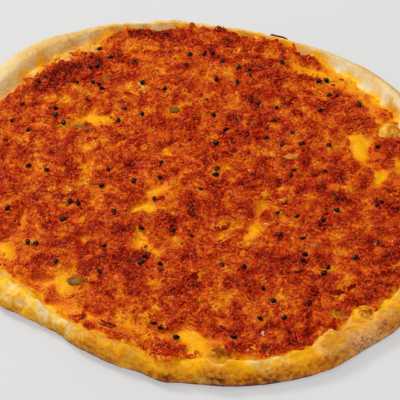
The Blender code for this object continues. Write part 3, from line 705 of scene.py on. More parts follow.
def oil_at(points):
    """How oily the dough is: full under the spread, fading a few millimetres up the rim, and in patches."""
    x, y = points[..., 0], points[..., 1]
    reach = OIL_REACH + round_about(np.arctan2(y, x), OIL_CREEP)
    for length, far, seed in OIL_REACH_LUMPS:
        reach = reach + far * soft_noise(x, y, length, seed)
    near = eased(-1.0, 1.0, (inside_edge(x, y) + reach) / OIL_FADE)
    patchy = patches(x, y, OILY_PLACES) * (1 - eased(0.85, 1.05, rim_share(x, y)))
    mottle = sum((share * solid_noise(points, length, seed) for length, share, seed in OIL_PATCHES), 1)
    rim_oil = blended(np.arctan2(y, x), BAKED_AND_SHADED)[4] * mottle
    oily = np.maximum(np.maximum(near, patchy), rim_oil)
    return np.clip(oily - LESS_OILY * patches(x, y, PALE_PLACES) * (1 - near), 0, 1)


def flour_at(points):
    """Where flour clings: a light dusting with a few dusty places."""
    x, y = points[..., 0], points[..., 1]
    dusting = FLOUR_DUST + FLOUR_DUST_LUMPS * soft_noise(x, y, FLOUR_DUST_LENGTH, 77)
    return np.clip(dusting + FLOUR_IN_PLACES * patches(x, y, FLOURY_PLACES), 0, 1)


front_foot = np.array([[0.0, -108.0, 1.0]])
print("toast and oil at the front foot:", toast_at(front_foot).round(2), oil_at(front_foot).round(2))

# %% [markdown]
# ## Baked dough
# Baked dough is a matt foam with a thin skin. Light goes a little way into it and comes out again, so a
# touch of subsurface scattering keeps its shadows warm. Its colour comes from toast, by a ramp from cream
# through gold to brown, with a second ramp of yellows and oranges where it is oily, and flour laid over
# both. Fine noise breaks the skin into specks and pores. Real ones are a few tenths of a millimetre wide,
# too fine to show from here, so they are drawn at one to two millimetres.

# %% Baked dough
SKIN_PORE, SKIN_GRAIN = 1.8, 0.9  # millimetres
CRUST_RAMP = (
    (0.0, "#ece0c4"), (1.0, "#3a1a07"), (0.15, "#e4cb98"), (0.3, "#d8ae64"), (0.45, "#c89342"),
    (0.6, "#b2782a"), (0.75, "#8c5818"), (0.9, "#5e350c"),
)
STAIN_RAMP = (
    (0.0, "#fac41c"), (1.0, "#582305"), (0.2, "#eea80e"), (0.4, "#dc8c0c"), (0.6, "#c36c0a"),
    (0.8, "#944406"),
)
FLOUR, DRY_ROUGHNESS, OILY_ROUGHNESS = linear("#d8b487"), 0.78, 0.42


def baked_dough(tree, place):
    """Matt baked skin in specks of toast, stained and glossier where it is oily, dusted with flour."""
    toast, oil, flour = (
        add_node(tree, "Attribute", "Fac", attribute_name=key) for key in ("toast", "oil", "flour")
    )
    grain = add_node(tree, "TexNoise", "Fac", {"Vector": place, "Scale": per_size(SKIN_GRAIN), "Detail": 2.0})
    pores = add_node(tree, "TexNoise", "Fac", {"Vector": place, "Scale": per_size(SKIN_PORE), "Detail": 3.0})
    specks = add_node(tree, "Math", "Value", {0: grain, 1: -0.5}, operation="ADD")
    coarser = {"Value": toast, "From Min": 0.1, "From Max": 0.6, "To Min": 0.2, "To Max": 0.62}
    coarse = add_node(tree, "MapRange", "Result", coarser)
    speckled = add_node(tree, "Math", "Value", {0: specks, 1: coarse, 2: toast}, operation="MULTIPLY_ADD")
    crust = add_node(tree, "ValToRGB", "Color", {"Fac": speckled}, CRUST_RAMP)
    stain = add_node(tree, "ValToRGB", "Color", {"Fac": speckled}, STAIN_RAMP)
    oily = add_node(tree, "Mix", "Result", {"Factor": oil, "A": crust, "B": stain}, data_type="RGBA")
    dust = add_node(tree, "MapRange", "Result", {"Value": grain, "From Min": 0.42, "From Max": 0.62})
    dusty = add_node(tree, "Math", "Value", {0: dust, 1: flour}, operation="MULTIPLY")
    colour = add_node(tree, "Mix", "Result", {"Factor": dusty, "A": oily, "B": FLOUR}, data_type="RGBA")
    drier = {"Value": oil, "To Min": DRY_ROUGHNESS, "To Max": OILY_ROUGHNESS}
    dull = add_node(tree, "MapRange", "Result", drier)
    fine = add_node(tree, "Bump", "Normal", {"Height": grain, "Strength": 0.35, "Distance": 0.00018})
    pored = {"Height": pores, "Strength": 0.5, "Distance": 0.0004, "Normal": fine}
    skin = add_node(tree, "Bump", "Normal", pored)
    return {
        "Base Color": colour, "Roughness": dull, "Normal": skin, "IOR": 1.4,
        "Specular IOR Level": 0.25, "Specular Tint": linear("#ffd48c"),
        "Subsurface Weight": 0.12, "Subsurface Radius": (1.0, 0.5, 0.2), "Subsurface Scale": 0.0012,
    }


DOUGH = new_material("baked_dough", baked_dough)

# %% [markdown]
# ## The flatbread
# The whole dough is one closed skin, drawn as rings from the middle of its top, over the rim, down the side
# and back to the middle of its underside. Each ring has 960 points, about 0.7 mm apart at the rim, and the
# rings crowd together where the rim bends.

# %% Rings of the dough
AROUND = 960
FLOOR_ROWS, SLOPE_ROWS, CREST_ROWS, SIDE_ROWS, UNDER_ROWS = 30, 16, 20, 14, 16
ROWS_INSIDE, INSIDE_SHARE = 14, 0.88  # the floor's middle is hidden, so few of its rows lie there
FOOT_INSET, FOOT_CLEARANCE = 1.4, 0.3
FOOT_LIFT, FOOT_LIFT_LENGTH = 1.1, 24  # where the edge has curled up off the table
FLAT_INSET = 5.5
UNDERSIDE_DIMPLES, DIMPLE_LENGTH = 0.25, 9


def over_the_rim(theta):
    """Rings over the dough's top: shares of the floor's radius, then shares of the rim's width, which crowd
    towards the outline as the sine of an even turn does."""
    inner, width = outer_radius(theta) - rim_width(theta), rim_width(theta)
    inside = INSIDE_SHARE * np.arange(1, ROWS_INSIDE + 1) / ROWS_INSIDE
    outside = np.linspace(INSIDE_SHARE, 1, FLOOR_ROWS - ROWS_INSIDE + 1)[1:]
    floor_shares = np.concatenate([inside, outside])[:, None]
    slope = CREST_AT * np.arange(1, SLOPE_ROWS + 1) / SLOPE_ROWS
    crest = CREST_AT + (1 - CREST_AT) * np.sin(np.arange(1, CREST_ROWS + 1) / CREST_ROWS * math.pi / 2)
    rim_shares = np.concatenate([slope, crest])[:, None]
    radius = np.concatenate([inner * floor_shares, inner + width * rim_shares])
    x, y = radius * np.cos(theta), radius * np.sin(theta)
    return np.stack([x, y, dough_height(x, y)], -1)


def under_the_rim(theta):
    """Rings down the side, on a quarter ellipse from the widest point to the foot, then in along the
    underside, which eases down from the foot to the flat."""
    outer, widest = outer_radius(theta), rim_height(theta) * WIDEST_AT
    curl = soft_noise(outer * np.cos(theta), outer * np.sin(theta), FOOT_LIFT_LENGTH, 7)
    foot = FOOT_CLEARANCE + FOOT_LIFT * np.clip(curl, 0, 1)
    turn = (np.arange(1, SIDE_ROWS + 1) / SIDE_ROWS * math.pi / 2)[:, None]
    side_radius = outer - FOOT_INSET * (1 - np.cos(turn))
    side_height = widest + (foot - widest) * np.sin(turn)
    inward = (np.arange(1, UNDER_ROWS + 1) / (UNDER_ROWS + 1))[:, None]
    start = outer - FOOT_INSET
    under_radius = start * (1 - inward**1.4)
    flat = eased(FLAT_INSET, 0, start - under_radius) * foot
    radius, height = np.concatenate([side_radius, under_radius]), np.concatenate([side_height, flat])
    x, y = radius * np.cos(theta), radius * np.sin(theta)
    dimples = UNDERSIDE_DIMPLES * eased(0.1, 0.9, soft_noise(x, y, DIMPLE_LENGTH, 8))
    return np.stack([x, y, height + dimples * (height < FOOT_CLEARANCE)], -1)


theta = np.arange(AROUND) / AROUND * 2 * math.pi
plain_rings = np.concatenate([over_the_rim(theta), under_the_rim(theta)])
print("rings:", len(plain_rings), "of", AROUND, "points")

# %% [markdown]
# ## The skin's relief
# The plain form is pushed in and out along its own normal by lumps and wrinkles, which a form worked out
# from heights alone couldn't have on its steep side, and then wrapped over the blisters. What lies under
# the paste is nearly smooth, because nothing of it shows.

# %% Flatbread
PRESSED_BY_PASTE = 0.4  # so that the dough never shows through the film of oil as facets
SKIN_RELIEF = ((14, 0.6), (7, 0.45), (3.6, 0.26), (1.8, 0.10), (1.0, 0.05))  # length of the lumps, height
RELIEF_UNDER_PASTE = 0.04  # share of the rim's


def ring_normals(rings):
    """Unit normals of a grid of rings: the step to the next ring crossed with the step round the ring."""
    outward = np.gradient(rings, axis=0)
    onward = np.roll(rings, -1, axis=1) - np.roll(rings, 1, axis=1)
    normal = np.cross(outward, onward)
    return normal / np.linalg.norm(normal, axis=-1, keepdims=True)


def dressed_rings(rings):
    """The rings with their relief: lumps pushed along the normals, full on the rim, slight below the spread,
    none on the underside. Below the paste the dough is pressed down a little. Then come the blisters."""
    relief = layered(SKIN_RELIEF, 80, solid_noise, rings)
    share = rim_share(rings[..., 0], rings[..., 1])
    rough = 1 - round_about(theta, SMOOTH_RIM) + round_about(theta, ROUGH_RIM)
    amount = (RELIEF_UNDER_PASTE + (1 - RELIEF_UNDER_PASTE) * eased(0.0, 0.4, share)) * rough
    amount[-UNDER_ROWS:] = 0
    amount[-UNDER_ROWS - SIDE_ROWS : -UNDER_ROWS] *= np.linspace(1, 0.1, SIDE_ROWS)[:, None]
    rings = rings + ring_normals(rings) * (relief * amount)[..., None]
    x, y, top = rings[..., 0], rings[..., 1], slice(0, -UNDER_ROWS - SIDE_ROWS)
    pressed = PRESSED_BY_PASTE * eased(0.2, 1.4, inside_edge(x, y)) * (1 - bareness(x, y))
    rings[top, :, 2] -= pressed[top]
    rings[..., 2] = np.maximum(rings[..., 2], 0)
    rings[top], *looks = blistered(rings[top])
    return rings, [np.pad(look.ravel(), (1, rings[..., 0].size - look.size + 1)) for look in looks]


rings, (in_blister, blister_toast, blister_oil) = dressed_rings(plain_rings)
top_middle = np.array([[0.0, 0.0, dough_height(np.zeros(1), np.zeros(1))[0]]])
points = np.concatenate([top_middle, rings.reshape(-1, 3), [[0.0, 0.0, 0.0]]])
toast = toast_at(points) * (1 - in_blister) + blister_toast * in_blister
oil = oil_at(points) * (1 - in_blister) + blister_oil * in_blister
flatbread = add_piece(
    "baked_flatbread", points, closed_faces(len(rings), AROUND), DOUGH, "baked_dough",
    toast=toast, oil=oil, flour=flour_at(points),
)
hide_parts("flatbread")

# %% [markdown]
# ## The paste's skin
# Under all the loose bits lies a continuous layer of paste. Its height over the dough is a thin film of oil
# where nothing lies, and up to a millimetre and a half where the cover is full, with a cobbled relief whose
# cells are grains of mince. Over a bubble only the clear film is left, so the yellow dough shines through.
# Past its ragged edge it dips just below the dough.

# %% Paste height
PASTE_DEPTH, FILM = 1.45, 0.16
SPREAD_LUMPS = ((11, 0.34), (6.5, 0.22))  # length, share of the depth, as in the solid model
DIP = 1.5  # below the dough, where the dough is bare
GRAINS = ((4.2, 0.62, 0.13, 90), (2.2, 0.38, 0.10, 91))  # size of the lumps, relief, spread of tone, seed
GRAIN_LATTICE, GRAIN_SHIFT = 256, 100.5
LUMP_BEND, LUMP_BEND_LENGTH = 0.7, 1.5  # how far the lumps' outlines bend, and over what length, in lumps


def cobbles(x, y, size, seed):
    """Grains round scattered points: how near each point's nearest one is, from 1 in its middle down to 0,
    and that grain's own random number."""
    draw = np.random.default_rng(seed)
    jitter = draw.random((2, GRAIN_LATTICE, GRAIN_LATTICE))
    tones = draw.random((GRAIN_LATTICE, GRAIN_LATTICE))
    bend = [LUMP_BEND * soft_noise(x, y, LUMP_BEND_LENGTH * size, seed + n) for n in (1, 2)]
    across, along = x / size + GRAIN_SHIFT + bend[0], y / size + GRAIN_SHIFT + bend[1]
    i, j = np.floor(across).astype(int), np.floor(along).astype(int)
    nearest, tone = np.full(x.shape, 9.0), np.zeros(x.shape)
    for step in range(9):
        cell_x, cell_y = i + step // 3 - 1, j + step % 3 - 1
        a, b = cell_x % GRAIN_LATTICE, cell_y % GRAIN_LATTICE
        distance = (cell_x + jitter[0, a, b] - across) ** 2 + (cell_y + jitter[1, a, b] - along) ** 2
        closer = distance < nearest
        nearest, tone = np.where(closer, distance, nearest), np.where(closer, tones[a, b], tone)
    return np.clip(1 - nearest, 0, 1), tone


def paste_height(x, y, cobbled=True):
    """Height of the paste's top: the dough, plus the film, plus a lumpy depth scaled by the cover, plus the
    grains' relief, or just below the dough where it is bare."""
    cover = cover_at(x, y)
    depth = PASTE_DEPTH * (1 + layered(SPREAD_LUMPS, 10, soft_noise, x, y))
    above = FILM + depth * eased(0.02, 0.8, cover)
    if cobbled:
        for size, relief, _, seed in GRAINS:
            above = above + relief * cobbles(x, y, size, seed)[0] * eased(0.1, 0.7, cover)
    bare = bareness(x, y)
    return dough_height(x, y) + above * (1 - bare) - DIP * bare


print("the paste's top near the middle:", paste_height(*sample[:, :3]).round(2))

# %% [markdown]
# ## Minced pepper in oil
# The paste is cooked red pepper, minced fine and wet with oil. Thin, it is a clear orange over the yellow
# dough, and thick, it is a deep brick red. Each lump has cooked to its own red, and the crevices between
# them are painted darker, as painted shade and for the oil that gathers there, so both come from the same
# cells as the relief. Pale flecks lie on it, most where it is orange: partly bare pulp and partly painted
# glints. What makes it look wet is small bright glints with nothing between them: the surface is smooth,
# and only its swirling wrinkles, a millimetre or two long, tilt it towards the lamp. Oil that is itself red
# makes even the glints warm.

# %% Minced pepper
PEPPER_RAMP = (
    (0.0, "#f6ae06"), (1.0, "#4a0201"), (0.14, "#f0940a"), (0.28, "#e4700a"), (0.42, "#d24c08"),
    (0.56, "#b82c06"), (0.7, "#9c1606"), (0.84, "#780804"),
)
FINE_GRAIN, FINE_SPREAD, WRINKLE = 1.1, 0.28, 2.0  # millimetres, of tone, millimetres
RED_OIL = linear("#ffae74")
# the flecks' colour is partly bare pulp and partly a painted glint
FLECK, FLECK_SHARE, PULP_AND_GLINT = 1.3, 0.5, linear("#e47a34")  # millimetres, how strong, the colour of bare pulp


def flecked(tree, place, colour, tone, strength=1.0):
    """Lays flecks, part pulp and part painted glint, where warped noise is high and most where the tone is
    pale.
    """
    paler = {"Value": tone, "From Min": 0.45, "From Max": 0.8, "To Min": 1.0, "To Max": 0.35}
    pale = add_node(tree, "MapRange", "Result", paler)
    shown = add_node(tree, "Math", "Value", {0: pale, 1: strength}, operation="MULTIPLY")
    warped = {"Vector": place, "Scale": per_size(FLECK), "Detail": 1.0, "Distortion": 1.5}
    noise = add_node(tree, "TexNoise", "Fac", warped)
    high = {"Value": noise, "From Min": 0.55, "From Max": 0.72, "To Max": FLECK_SHARE}
    fleck = add_node(tree, "MapRange", "Result", high)
    amount = add_node(tree, "Math", "Value", {0: fleck, 1: shown}, operation="MULTIPLY")
    return add_node(tree, "Mix", "Result", {"Factor": amount, "A": colour, "B": PULP_AND_GLINT}, data_type="RGBA")


def minced_pepper(tree, place):
    """Wet paste: each fine grain has its own shade, less so in a clear film, and wrinkles tilt its glints."""
    tone, wet = (add_node(tree, "Attribute", "Fac", attribute_name=key) for key in ("tone", "cover"))
    grainy = add_node(tree, "MapRange", "Result", {"Value": wet, "From Max": 0.3, "To Min": 0.15})
    cells = add_node(tree, "TexVoronoi", "Color", {"Vector": place, "Scale": per_size(FINE_GRAIN)})
    spread = {"Value": cells, "To Min": -FINE_SPREAD / 2, "To Max": FINE_SPREAD / 2}
    own = add_node(tree, "MapRange", "Result", spread)
    moved = add_node(tree, "Math", "Value", {0: own, 1: grainy, 2: tone}, operation="MULTIPLY_ADD")
    red = add_node(tree, "ValToRGB", "Color", {"Fac": moved}, PEPPER_RAMP)
    swirled = {"Vector": place, "Scale": per_size(WRINKLE), "Detail": 1.0, "Distortion": 2.2}
    wrinkles = add_node(tree, "TexNoise", "Fac", swirled)
    creased = add_node(tree, "MapRange", "Result", {"Value": grainy, "To Min": 0.5})
    bump = add_node(tree, "Bump", "Normal", {"Height": wrinkles, "Strength": creased, "Distance": 0.0011})
    return {
        # the flecks are partly bare pulp and partly painted glints
        "Base Color": flecked(tree, place, red, tone, grainy), "Roughness": 0.2, "Normal": bump, "IOR": 1.5,
        "Specular Tint": RED_OIL, "Subsurface Weight": 0.1, "Subsurface Radius": (1.0, 0.25, 0.08),
        "Subsurface Scale": 0.001,
    }


MINCED = new_material("minced_pepper_in_oil", minced_pepper)

# %% [markdown]
# ## The paste layer
# A disc could be drawn in rings, as the dough is, but they crowd in the middle. A square grid bent to a
# disc has cells of nearly one size everywhere, so it carries the cobbled relief evenly. Its edge runs on
# into rings that turn under and close below, close together under the slope, so that none cuts the corner
# above it.

# %% The paste layer
PASTE_CELLS = 294
PASTE_OVERLAP = 1.9  # how far the mesh runs on past the loose paste, below the dough
PASTE_UNDER, UNDER_GAP = 0.9, 0.05  # how far below the dough, and at least below the edge
UNDER_SHARES = (1.0, 0.985, 0.97, 0.955, 0.94, 0.92, 0.9, 0.86, 0.75, 0.5, 0.25)  # of the way out
# painted shade: how much darker the crevices between the lumps are made, partly for oil that gathers there
CREVICE_PAINTED_SHADE = 0.15


def square_to_disc(a, b):
    """Bends the square from -1 to 1 to a unit disc: the larger coordinate is the radius, and their ratio sets
    the angle within each quarter."""
    by_a = np.abs(a) >= np.abs(b)
    radius = np.where(by_a, a, b)
    safe = np.where(radius == 0, 1, radius)
    angle = np.where(by_a, math.pi / 4 * b / safe, math.pi / 2 - math.pi / 4 * a / safe)
    return radius * np.cos(angle), radius * np.sin(angle)


def paste_layer():
    """Points and faces of the closed layer: the bent grid on top, its edge, and below it a fan of rings."""
    line = np.linspace(-1, 1, PASTE_CELLS + 1)
    disc_x, disc_y = square_to_disc(*np.meshgrid(line, line, indexing="ij"))
    angle = np.arctan2(disc_y, disc_x)
    reach = np.minimum(reach_of_paste(angle) + PASTE_OVERLAP, outer_radius(angle) - PASTE_OVERLAP)
    x, y = disc_x * reach, disc_y * reach
    top = np.stack([x, y, paste_height(x, y)], -1).reshape(-1, 3)
    index = np.arange((PASTE_CELLS + 1) ** 2).reshape(PASTE_CELLS + 1, PASTE_CELLS + 1)
    quads = np.stack([index[:-1, :-1], index[1:, :-1], index[1:, 1:], index[:-1, 1:]], -1).reshape(-1, 4)
    edge = np.concatenate([index[:-1, 0], index[-1, :-1], index[:0:-1, -1], index[0, :0:-1]])
    shares = np.array(UNDER_SHARES)[:, None]
    edge_x, edge_y = top[edge, 0] * shares, top[edge, 1] * shares
    under = np.stack([edge_x, edge_y, dough_height(edge_x, edge_y) - PASTE_UNDER], -1)
    under[0, :, 2] = np.minimum(under[0, :, 2], top[edge, 2] - UNDER_GAP)
    rows = np.concatenate([edge[None], len(top) + np.arange(under[..., 0].size).reshape(len(shares), -1)])
    after = np.roll(rows, -1, axis=1)
    skirt = np.stack([rows[:-1], rows[1:], after[1:], after[:-1]], -1).reshape(-1, 4)
    middle = len(top) + under[..., 0].size
    fan = np.stack([rows[-1], np.full(len(edge), middle), after[-1]], -1)
    low = dough_height(np.zeros(1), np.zeros(1))[0] - PASTE_UNDER
    points = np.concatenate([top, under.reshape(-1, 3), [[0.0, 0.0, low]]])
    return points, [np.concatenate([quads, skirt]), fan]


def lump_tone(x, y, cover):
    """The paste's tone with its lumps' own shades, and the crevices between them darker: painted shade, and
    oil.
    """
    tone = tone_at(x, y)
    for size, _, spread, seed in GRAINS:
        near, own = cobbles(x, y, size, seed)
        shade = spread * (2 * own - 1) + CREVICE_PAINTED_SHADE * eased(0.75, 0.35, near)
        tone = tone + shade * eased(0.15, 0.6, cover)
    return np.clip(tone, 0, 1)


points, faces = paste_layer()
cover = cover_at(points[:, 0], points[:, 1])
tone = lump_tone(points[:, 0], points[:, 1], cover)
paste = add_piece("pepper_paste", points, faces, MINCED, "pepper_spread", tone=tone, cover=cover)
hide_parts("pepper_spread")

# %% [markdown]
# ## Scattering without instances
# Small things are real meshes here. One shape is worked out as a closed ball of a few rows, then copied a
# few thousand times as one array: every copy gets its own size, bend and turn, and they all go into one
# mesh. A ball whose poles lie along x makes a good start for anything chopped, because its long axis is x.

# %% Many copies at once
ON_FILM = 0.2  # how thickly bits lie on the film, as a share
TRIES = 8  # places drawn for each one that is wanted
COVER_FADE = 0.18


def ball(rows, around):
    """Points of a unit ball with its poles at +x and -x, every second row turned by half a step."""
    down = np.arange(1, rows + 1)[:, None] / (rows + 1) * math.pi
    turn = (np.arange(around) + 0.5 * (np.arange(rows)[:, None] % 2)) / around * 2 * math.pi
    body = np.stack([np.cos(down) + 0 * turn, np.sin(down) * np.cos(turn), np.sin(down) * np.sin(turn)], -1)
    return np.concatenate([[[1.0, 0.0, 0.0]], body.reshape(-1, 3), [[-1.0, 0.0, 0.0]]])


def turns(yaw, pitch, roll):
    """One rotation matrix for each set of angles: roll about x, then pitch about y, then yaw about z."""
    cy, sy, cp, sp, cr, sr = (f(angle) for angle in (yaw, pitch, roll) for f in (np.cos, np.sin))
    rows = [
        [cy * cp, cy * sp * sr - sy * cr, cy * sp * cr + sy * sr],
        [sy * cp, sy * sp * sr + cy * cr, sy * sp * cr - cy * sr],
        [-sp, cp * sr, cp * cr],
    ]
    return np.stack([np.stack(row, -1) for row in rows], -2)


def placed(shapes, yaw, pitch, roll, *place):
    """Turns each copy's points, an array of copies, points and x, y, z, and moves them to its place."""
    return np.einsum("nij,nkj->nki", turns(yaw, pitch, roll), shapes) + np.stack(place, -1)[:, None, :]


def add_copies(name, copies, face_groups, finish, slot, tone=None, smooth=True):
    """Makes one piece of all copies of a shape, whose faces are repeated for each. A copy has one tone."""
    number, size = copies.shape[:2]
    step = np.arange(number)[:, None, None] * size
    groups = [(faces[None] + step).reshape(-1, faces.shape[1]) for faces in face_groups]
    values = {} if tone is None else {"tone": np.repeat(tone, size)}
    return add_piece(name, copies.reshape(-1, 3), groups, finish, slot, smooth, **values)


def on_the_paste(draw, count, low_cover):
    """Random places on the spread where the cover is more than a value, with a few on the film too, but none
    on bare dough."""
    tries = count * TRIES
    angle, radius = draw.uniform(0, 2 * math.pi, tries), MEAN_RADIUS * np.sqrt(draw.random(tries))
    x, y = radius * np.cos(angle), radius * np.sin(angle)
    covered = eased(low_cover - COVER_FADE, low_cover + COVER_FADE, cover_at(x, y))
    wanted = np.maximum(covered, ON_FILM * filmed(x, y)) * (1 - bareness(x, y))
    keep = np.flatnonzero(draw.random(tries) < wanted)[:count]
    return x[keep], y[keep]


print("a ball of 3 rows of 7:", len(ball(3, 7)), "points,", 2 * 7 * 3, "triangles")

# %% [markdown]
# ## The finish of chopped pepper
# Chopped pepper is flesh that holds water and oil: a little light passes through it, and its wet faces throw
# small sharp highlights. The same finish, fed by each bit's own tone, serves mince, grains and shreds alike.
# Fibres from inside the pepper stayed pale, and are a little drier; their pale colour also paints short
# highlight strokes.

# %% Chopped pepper
CHOPPED_RAMP = (
    (0.0, "#f6b030"), (1.0, "#520301"), (0.14, "#f08e12"), (0.28, "#e66a0c"), (0.42, "#d84a08"),
    (0.56, "#c42a06"), (0.7, "#a81408"), (0.84, "#840806"),
)
# pale fibres: partly real pale flesh, partly painted highlight strokes
PALE_FIBRE_AND_GLINT_RAMP = ((0.0, "#f29a44"), (1.0, "#b83c14"))
FLESH_SPREAD = 0.3  # how far the mottle moves the tone


def chopped_pepper(tree, place, rough, mottle, ramp):
    """Wet flesh in each bit's own tone, mottled and dented over a millimetre or so, flecked with pulp and
    painted glints.
    """
    tone = add_node(tree, "Attribute", "Fac", attribute_name="tone")
    flesh = add_node(tree, "TexNoise", "Fac", {"Vector": place, "Scale": per_size(mottle), "Detail": 2.0})
    shift = add_node(tree, "Math", "Value", {0: flesh, 1: -0.5}, operation="ADD")
    moved = add_node(tree, "Math", "Value", {0: shift, 1: FLESH_SPREAD, 2: tone}, operation="MULTIPLY_ADD")
    red = add_node(tree, "ValToRGB", "Color", {"Fac": moved}, ramp)
    bump = add_node(tree, "Bump", "Normal", {"Height": flesh, "Strength": 0.5, "Distance": 0.0004})
    return {
        "Base Color": flecked(tree, place, red, tone), "Roughness": rough, "Normal": bump, "IOR": 1.5,
        "Specular Tint": RED_OIL, "Subsurface Weight": 0.15, "Subsurface Radius": (1.0, 0.25, 0.08),
        "Subsurface Scale": 0.0012,
    }


CHOPPED = new_material("chopped_pepper_flesh", chopped_pepper, 0.2, 1.4, CHOPPED_RAMP)
PALE_FIBRE_AND_GLINT = new_material("pale_fibre_and_painted_glint", chopped_pepper, 0.3, 1.2, PALE_FIBRE_AND_GLINT_RAMP)

# %% [markdown]
# ## Mince and grains
# The pepper was chopped by machine, so its bits are angular and lie every way. Coarse bits make the clumps,
# fine ones fill in, and grains no larger than coarse sand cover all of it and run out over the thin places.
# A bit's own tone follows the paste's with a wide random spread, because skin and flesh cook to different
# colours. The smaller the bit, the fewer faces it has: 42 triangles for coarse mince, 24 for fine and 8 for
# a grain.

# %% Mince and grains
MINCE_WIDTHS, MINCE_THICKNESSES, MINCE_DENTS = (0.5, 0.85), (0.22, 0.36), (0.6, 1.3)  # shares of the length
MINCE_TILT, MINCE_ROLL = 0.8, 0.9  # radians
SKIN_AMONG_FLESH, SKIN_TONES = 0.17, (0.58, 0.74)


def chopped(name, seed, count, rows, around, lengths, low_cover, lift, tone_of):
    """Scatters angular bits: stretched balls of a few facets, their points pushed in and out at random."""
    draw = np.random.default_rng(seed)
    x, y = on_the_paste(draw, count, low_cover)
    number, shape = len(x), ball(rows, around)
    length = draw.uniform(*lengths, (number, 1))
    width = length * draw.uniform(*MINCE_WIDTHS, (number, 1))
    size = np.concatenate([length, width, length * draw.uniform(*MINCE_THICKNESSES, (number, 1))], 1)
    shapes = shape[None] * size[:, None, :] / 2 * draw.uniform(*MINCE_DENTS, (number, len(shape), 1))
    yaw, pitch = draw.uniform(0, 2 * math.pi, number), draw.uniform(-MINCE_TILT, MINCE_TILT, number)
    roll = draw.uniform(-MINCE_ROLL, MINCE_ROLL, number)
    copies = placed(shapes, yaw, pitch, roll, x, y, paste_height(x, y) + lift * size[:, 2])
    tone = np.clip(tone_of(draw, tone_at(x, y)), 0, 1)
    faces = closed_faces(rows, around)
    return add_copies(name, copies, faces, CHOPPED, "pepper_piece", tone, smooth=rows > 1)


def skin_and_flesh(draw, tone):
    """Bits of the paste's own tone, a little darker, and one in six pure red."""
    is_skin, skin = draw.random(len(tone)) < SKIN_AMONG_FLESH, draw.uniform(*SKIN_TONES, len(tone))
    return np.where(is_skin, skin, tone + draw.normal(0.03, 0.08, len(tone)))


def pale_flesh(draw, tone):
    """Bits that stayed orange: well under the paste's tone, with a narrow spread."""
    return 0.6 * tone + draw.normal(0.0, 0.08, len(tone))


chopped("coarse_mince", 101, 800, 3, 7, (2.6, 4.6), 0.46, -0.25, skin_and_flesh)
chopped("fine_mince", 102, 3200, 2, 6, (1.3, 2.8), 0.32, -0.12, skin_and_flesh)
chopped("small_grains", 109, 5000, 1, 4, (0.8, 1.3), 0.2, 0.0, pale_flesh)

# %% [markdown]
# ## Shreds of pepper
# Between the bits lie short shreds of flesh and skin, 2 to 4 mm long and half a millimetre or more thick,
# and paler fibres half as long, whose pale colour also paints short highlight strokes. They lie every way,
# many with one end up, and catch the light as short bright strokes. A shred is a tube carried along an arc:
# its middle line bends in its own plane, and its section is a flat oval that narrows to both ends.

# %% Shreds
SHRED_ROWS, SHRED_AROUND, SHRED_FLATNESS = 4, 4, 0.8
SHRED_BEND, SHRED_CURLS = 0.9, (-0.8, 0.1)  # half widths
SHRED_TILT, SHRED_ROLL, SHRED_LIFTS = 0.7, 0.6, (0.1, 0.3)  # radians, radians, millimetres
PALEST_SHRED = 0.08


def tube(rows, around, blunt=0.5):
    """A closed tube along x from +1 to -1: its section's size follows (1 - x^2) to a power, so that the ends
    are round, and points run round each row."""
    x = np.cos(np.arange(1, rows + 1) / (rows + 1) * math.pi)[:, None]
    turn = np.arange(around) / around * 2 * math.pi
    girth = (1 - x**2) ** blunt
    body = np.stack([x + 0 * turn, girth * np.cos(turn), girth * np.sin(turn)], -1)
    return np.concatenate([[[1.0, 0.0, 0.0]], body.reshape(-1, 3), [[-1.0, 0.0, 0.0]]])


def arched(shapes, bend, curl):
    """Bends each copy sideways and up or down, with the square of the way along it from its middle."""
    along = shapes[..., 0] ** 2
    shapes = shapes.copy()
    shapes[..., 1] += bend[:, None] * along
    shapes[..., 2] += curl[:, None] * along
    return shapes


def shreds(name, seed, count, low_cover, lengths, widths, finish, tones):
    """Scatters tubes that curve as they like, with both ends bent down."""
    draw = np.random.default_rng(seed)
    x, y = on_the_paste(draw, count, low_cover)
    number, shape = len(x), tube(SHRED_ROWS, SHRED_AROUND)
    length, thick = draw.uniform(*lengths, number), draw.uniform(*widths, number)
    bend, curl = draw.normal(0, SHRED_BEND, number), draw.uniform(*SHRED_CURLS, number)
    shapes = arched(shape[None].repeat(number, 0), bend, curl)
    shapes = shapes * np.stack([length, thick, thick * SHRED_FLATNESS], -1)[:, None, :] / 2
    yaw, pitch = draw.uniform(0, 2 * math.pi, number), draw.uniform(-SHRED_TILT, SHRED_TILT, number)
    roll = draw.uniform(-SHRED_ROLL, SHRED_ROLL, number)
    copies = placed(shapes, yaw, pitch, roll, x, y, paste_height(x, y) + draw.uniform(*SHRED_LIFTS, number))
    tone = np.clip(tone_at(x, y) + draw.normal(*tones, number), PALEST_SHRED, 1)
    return add_copies(name, copies, closed_faces(SHRED_ROWS, SHRED_AROUND), finish, "pepper_piece", tone)


shreds("pepper_shreds", 103, 4200, 0.28, (1.9, 4.2), (0.5, 0.95), CHOPPED, (0.02, 0.12))
# the pale fibres are partly painted highlight strokes
shreds("pepper_fibres_and_painted_glints", 110, 2400, 0.42, (0.9, 2.0), (0.4, 0.6), PALE_FIBRE_AND_GLINT, (0.1, 0.2))

# %% [markdown]
# ## Flakes of pepper skin
# Skin comes off a roasted pepper in flat flakes of 2 to 4 mm. They are darker and redder than the flesh, lie
# flush with the paste and show as small dark planes. A flake is a ball pressed nearly flat, with an uneven
# outline and a slight warp.

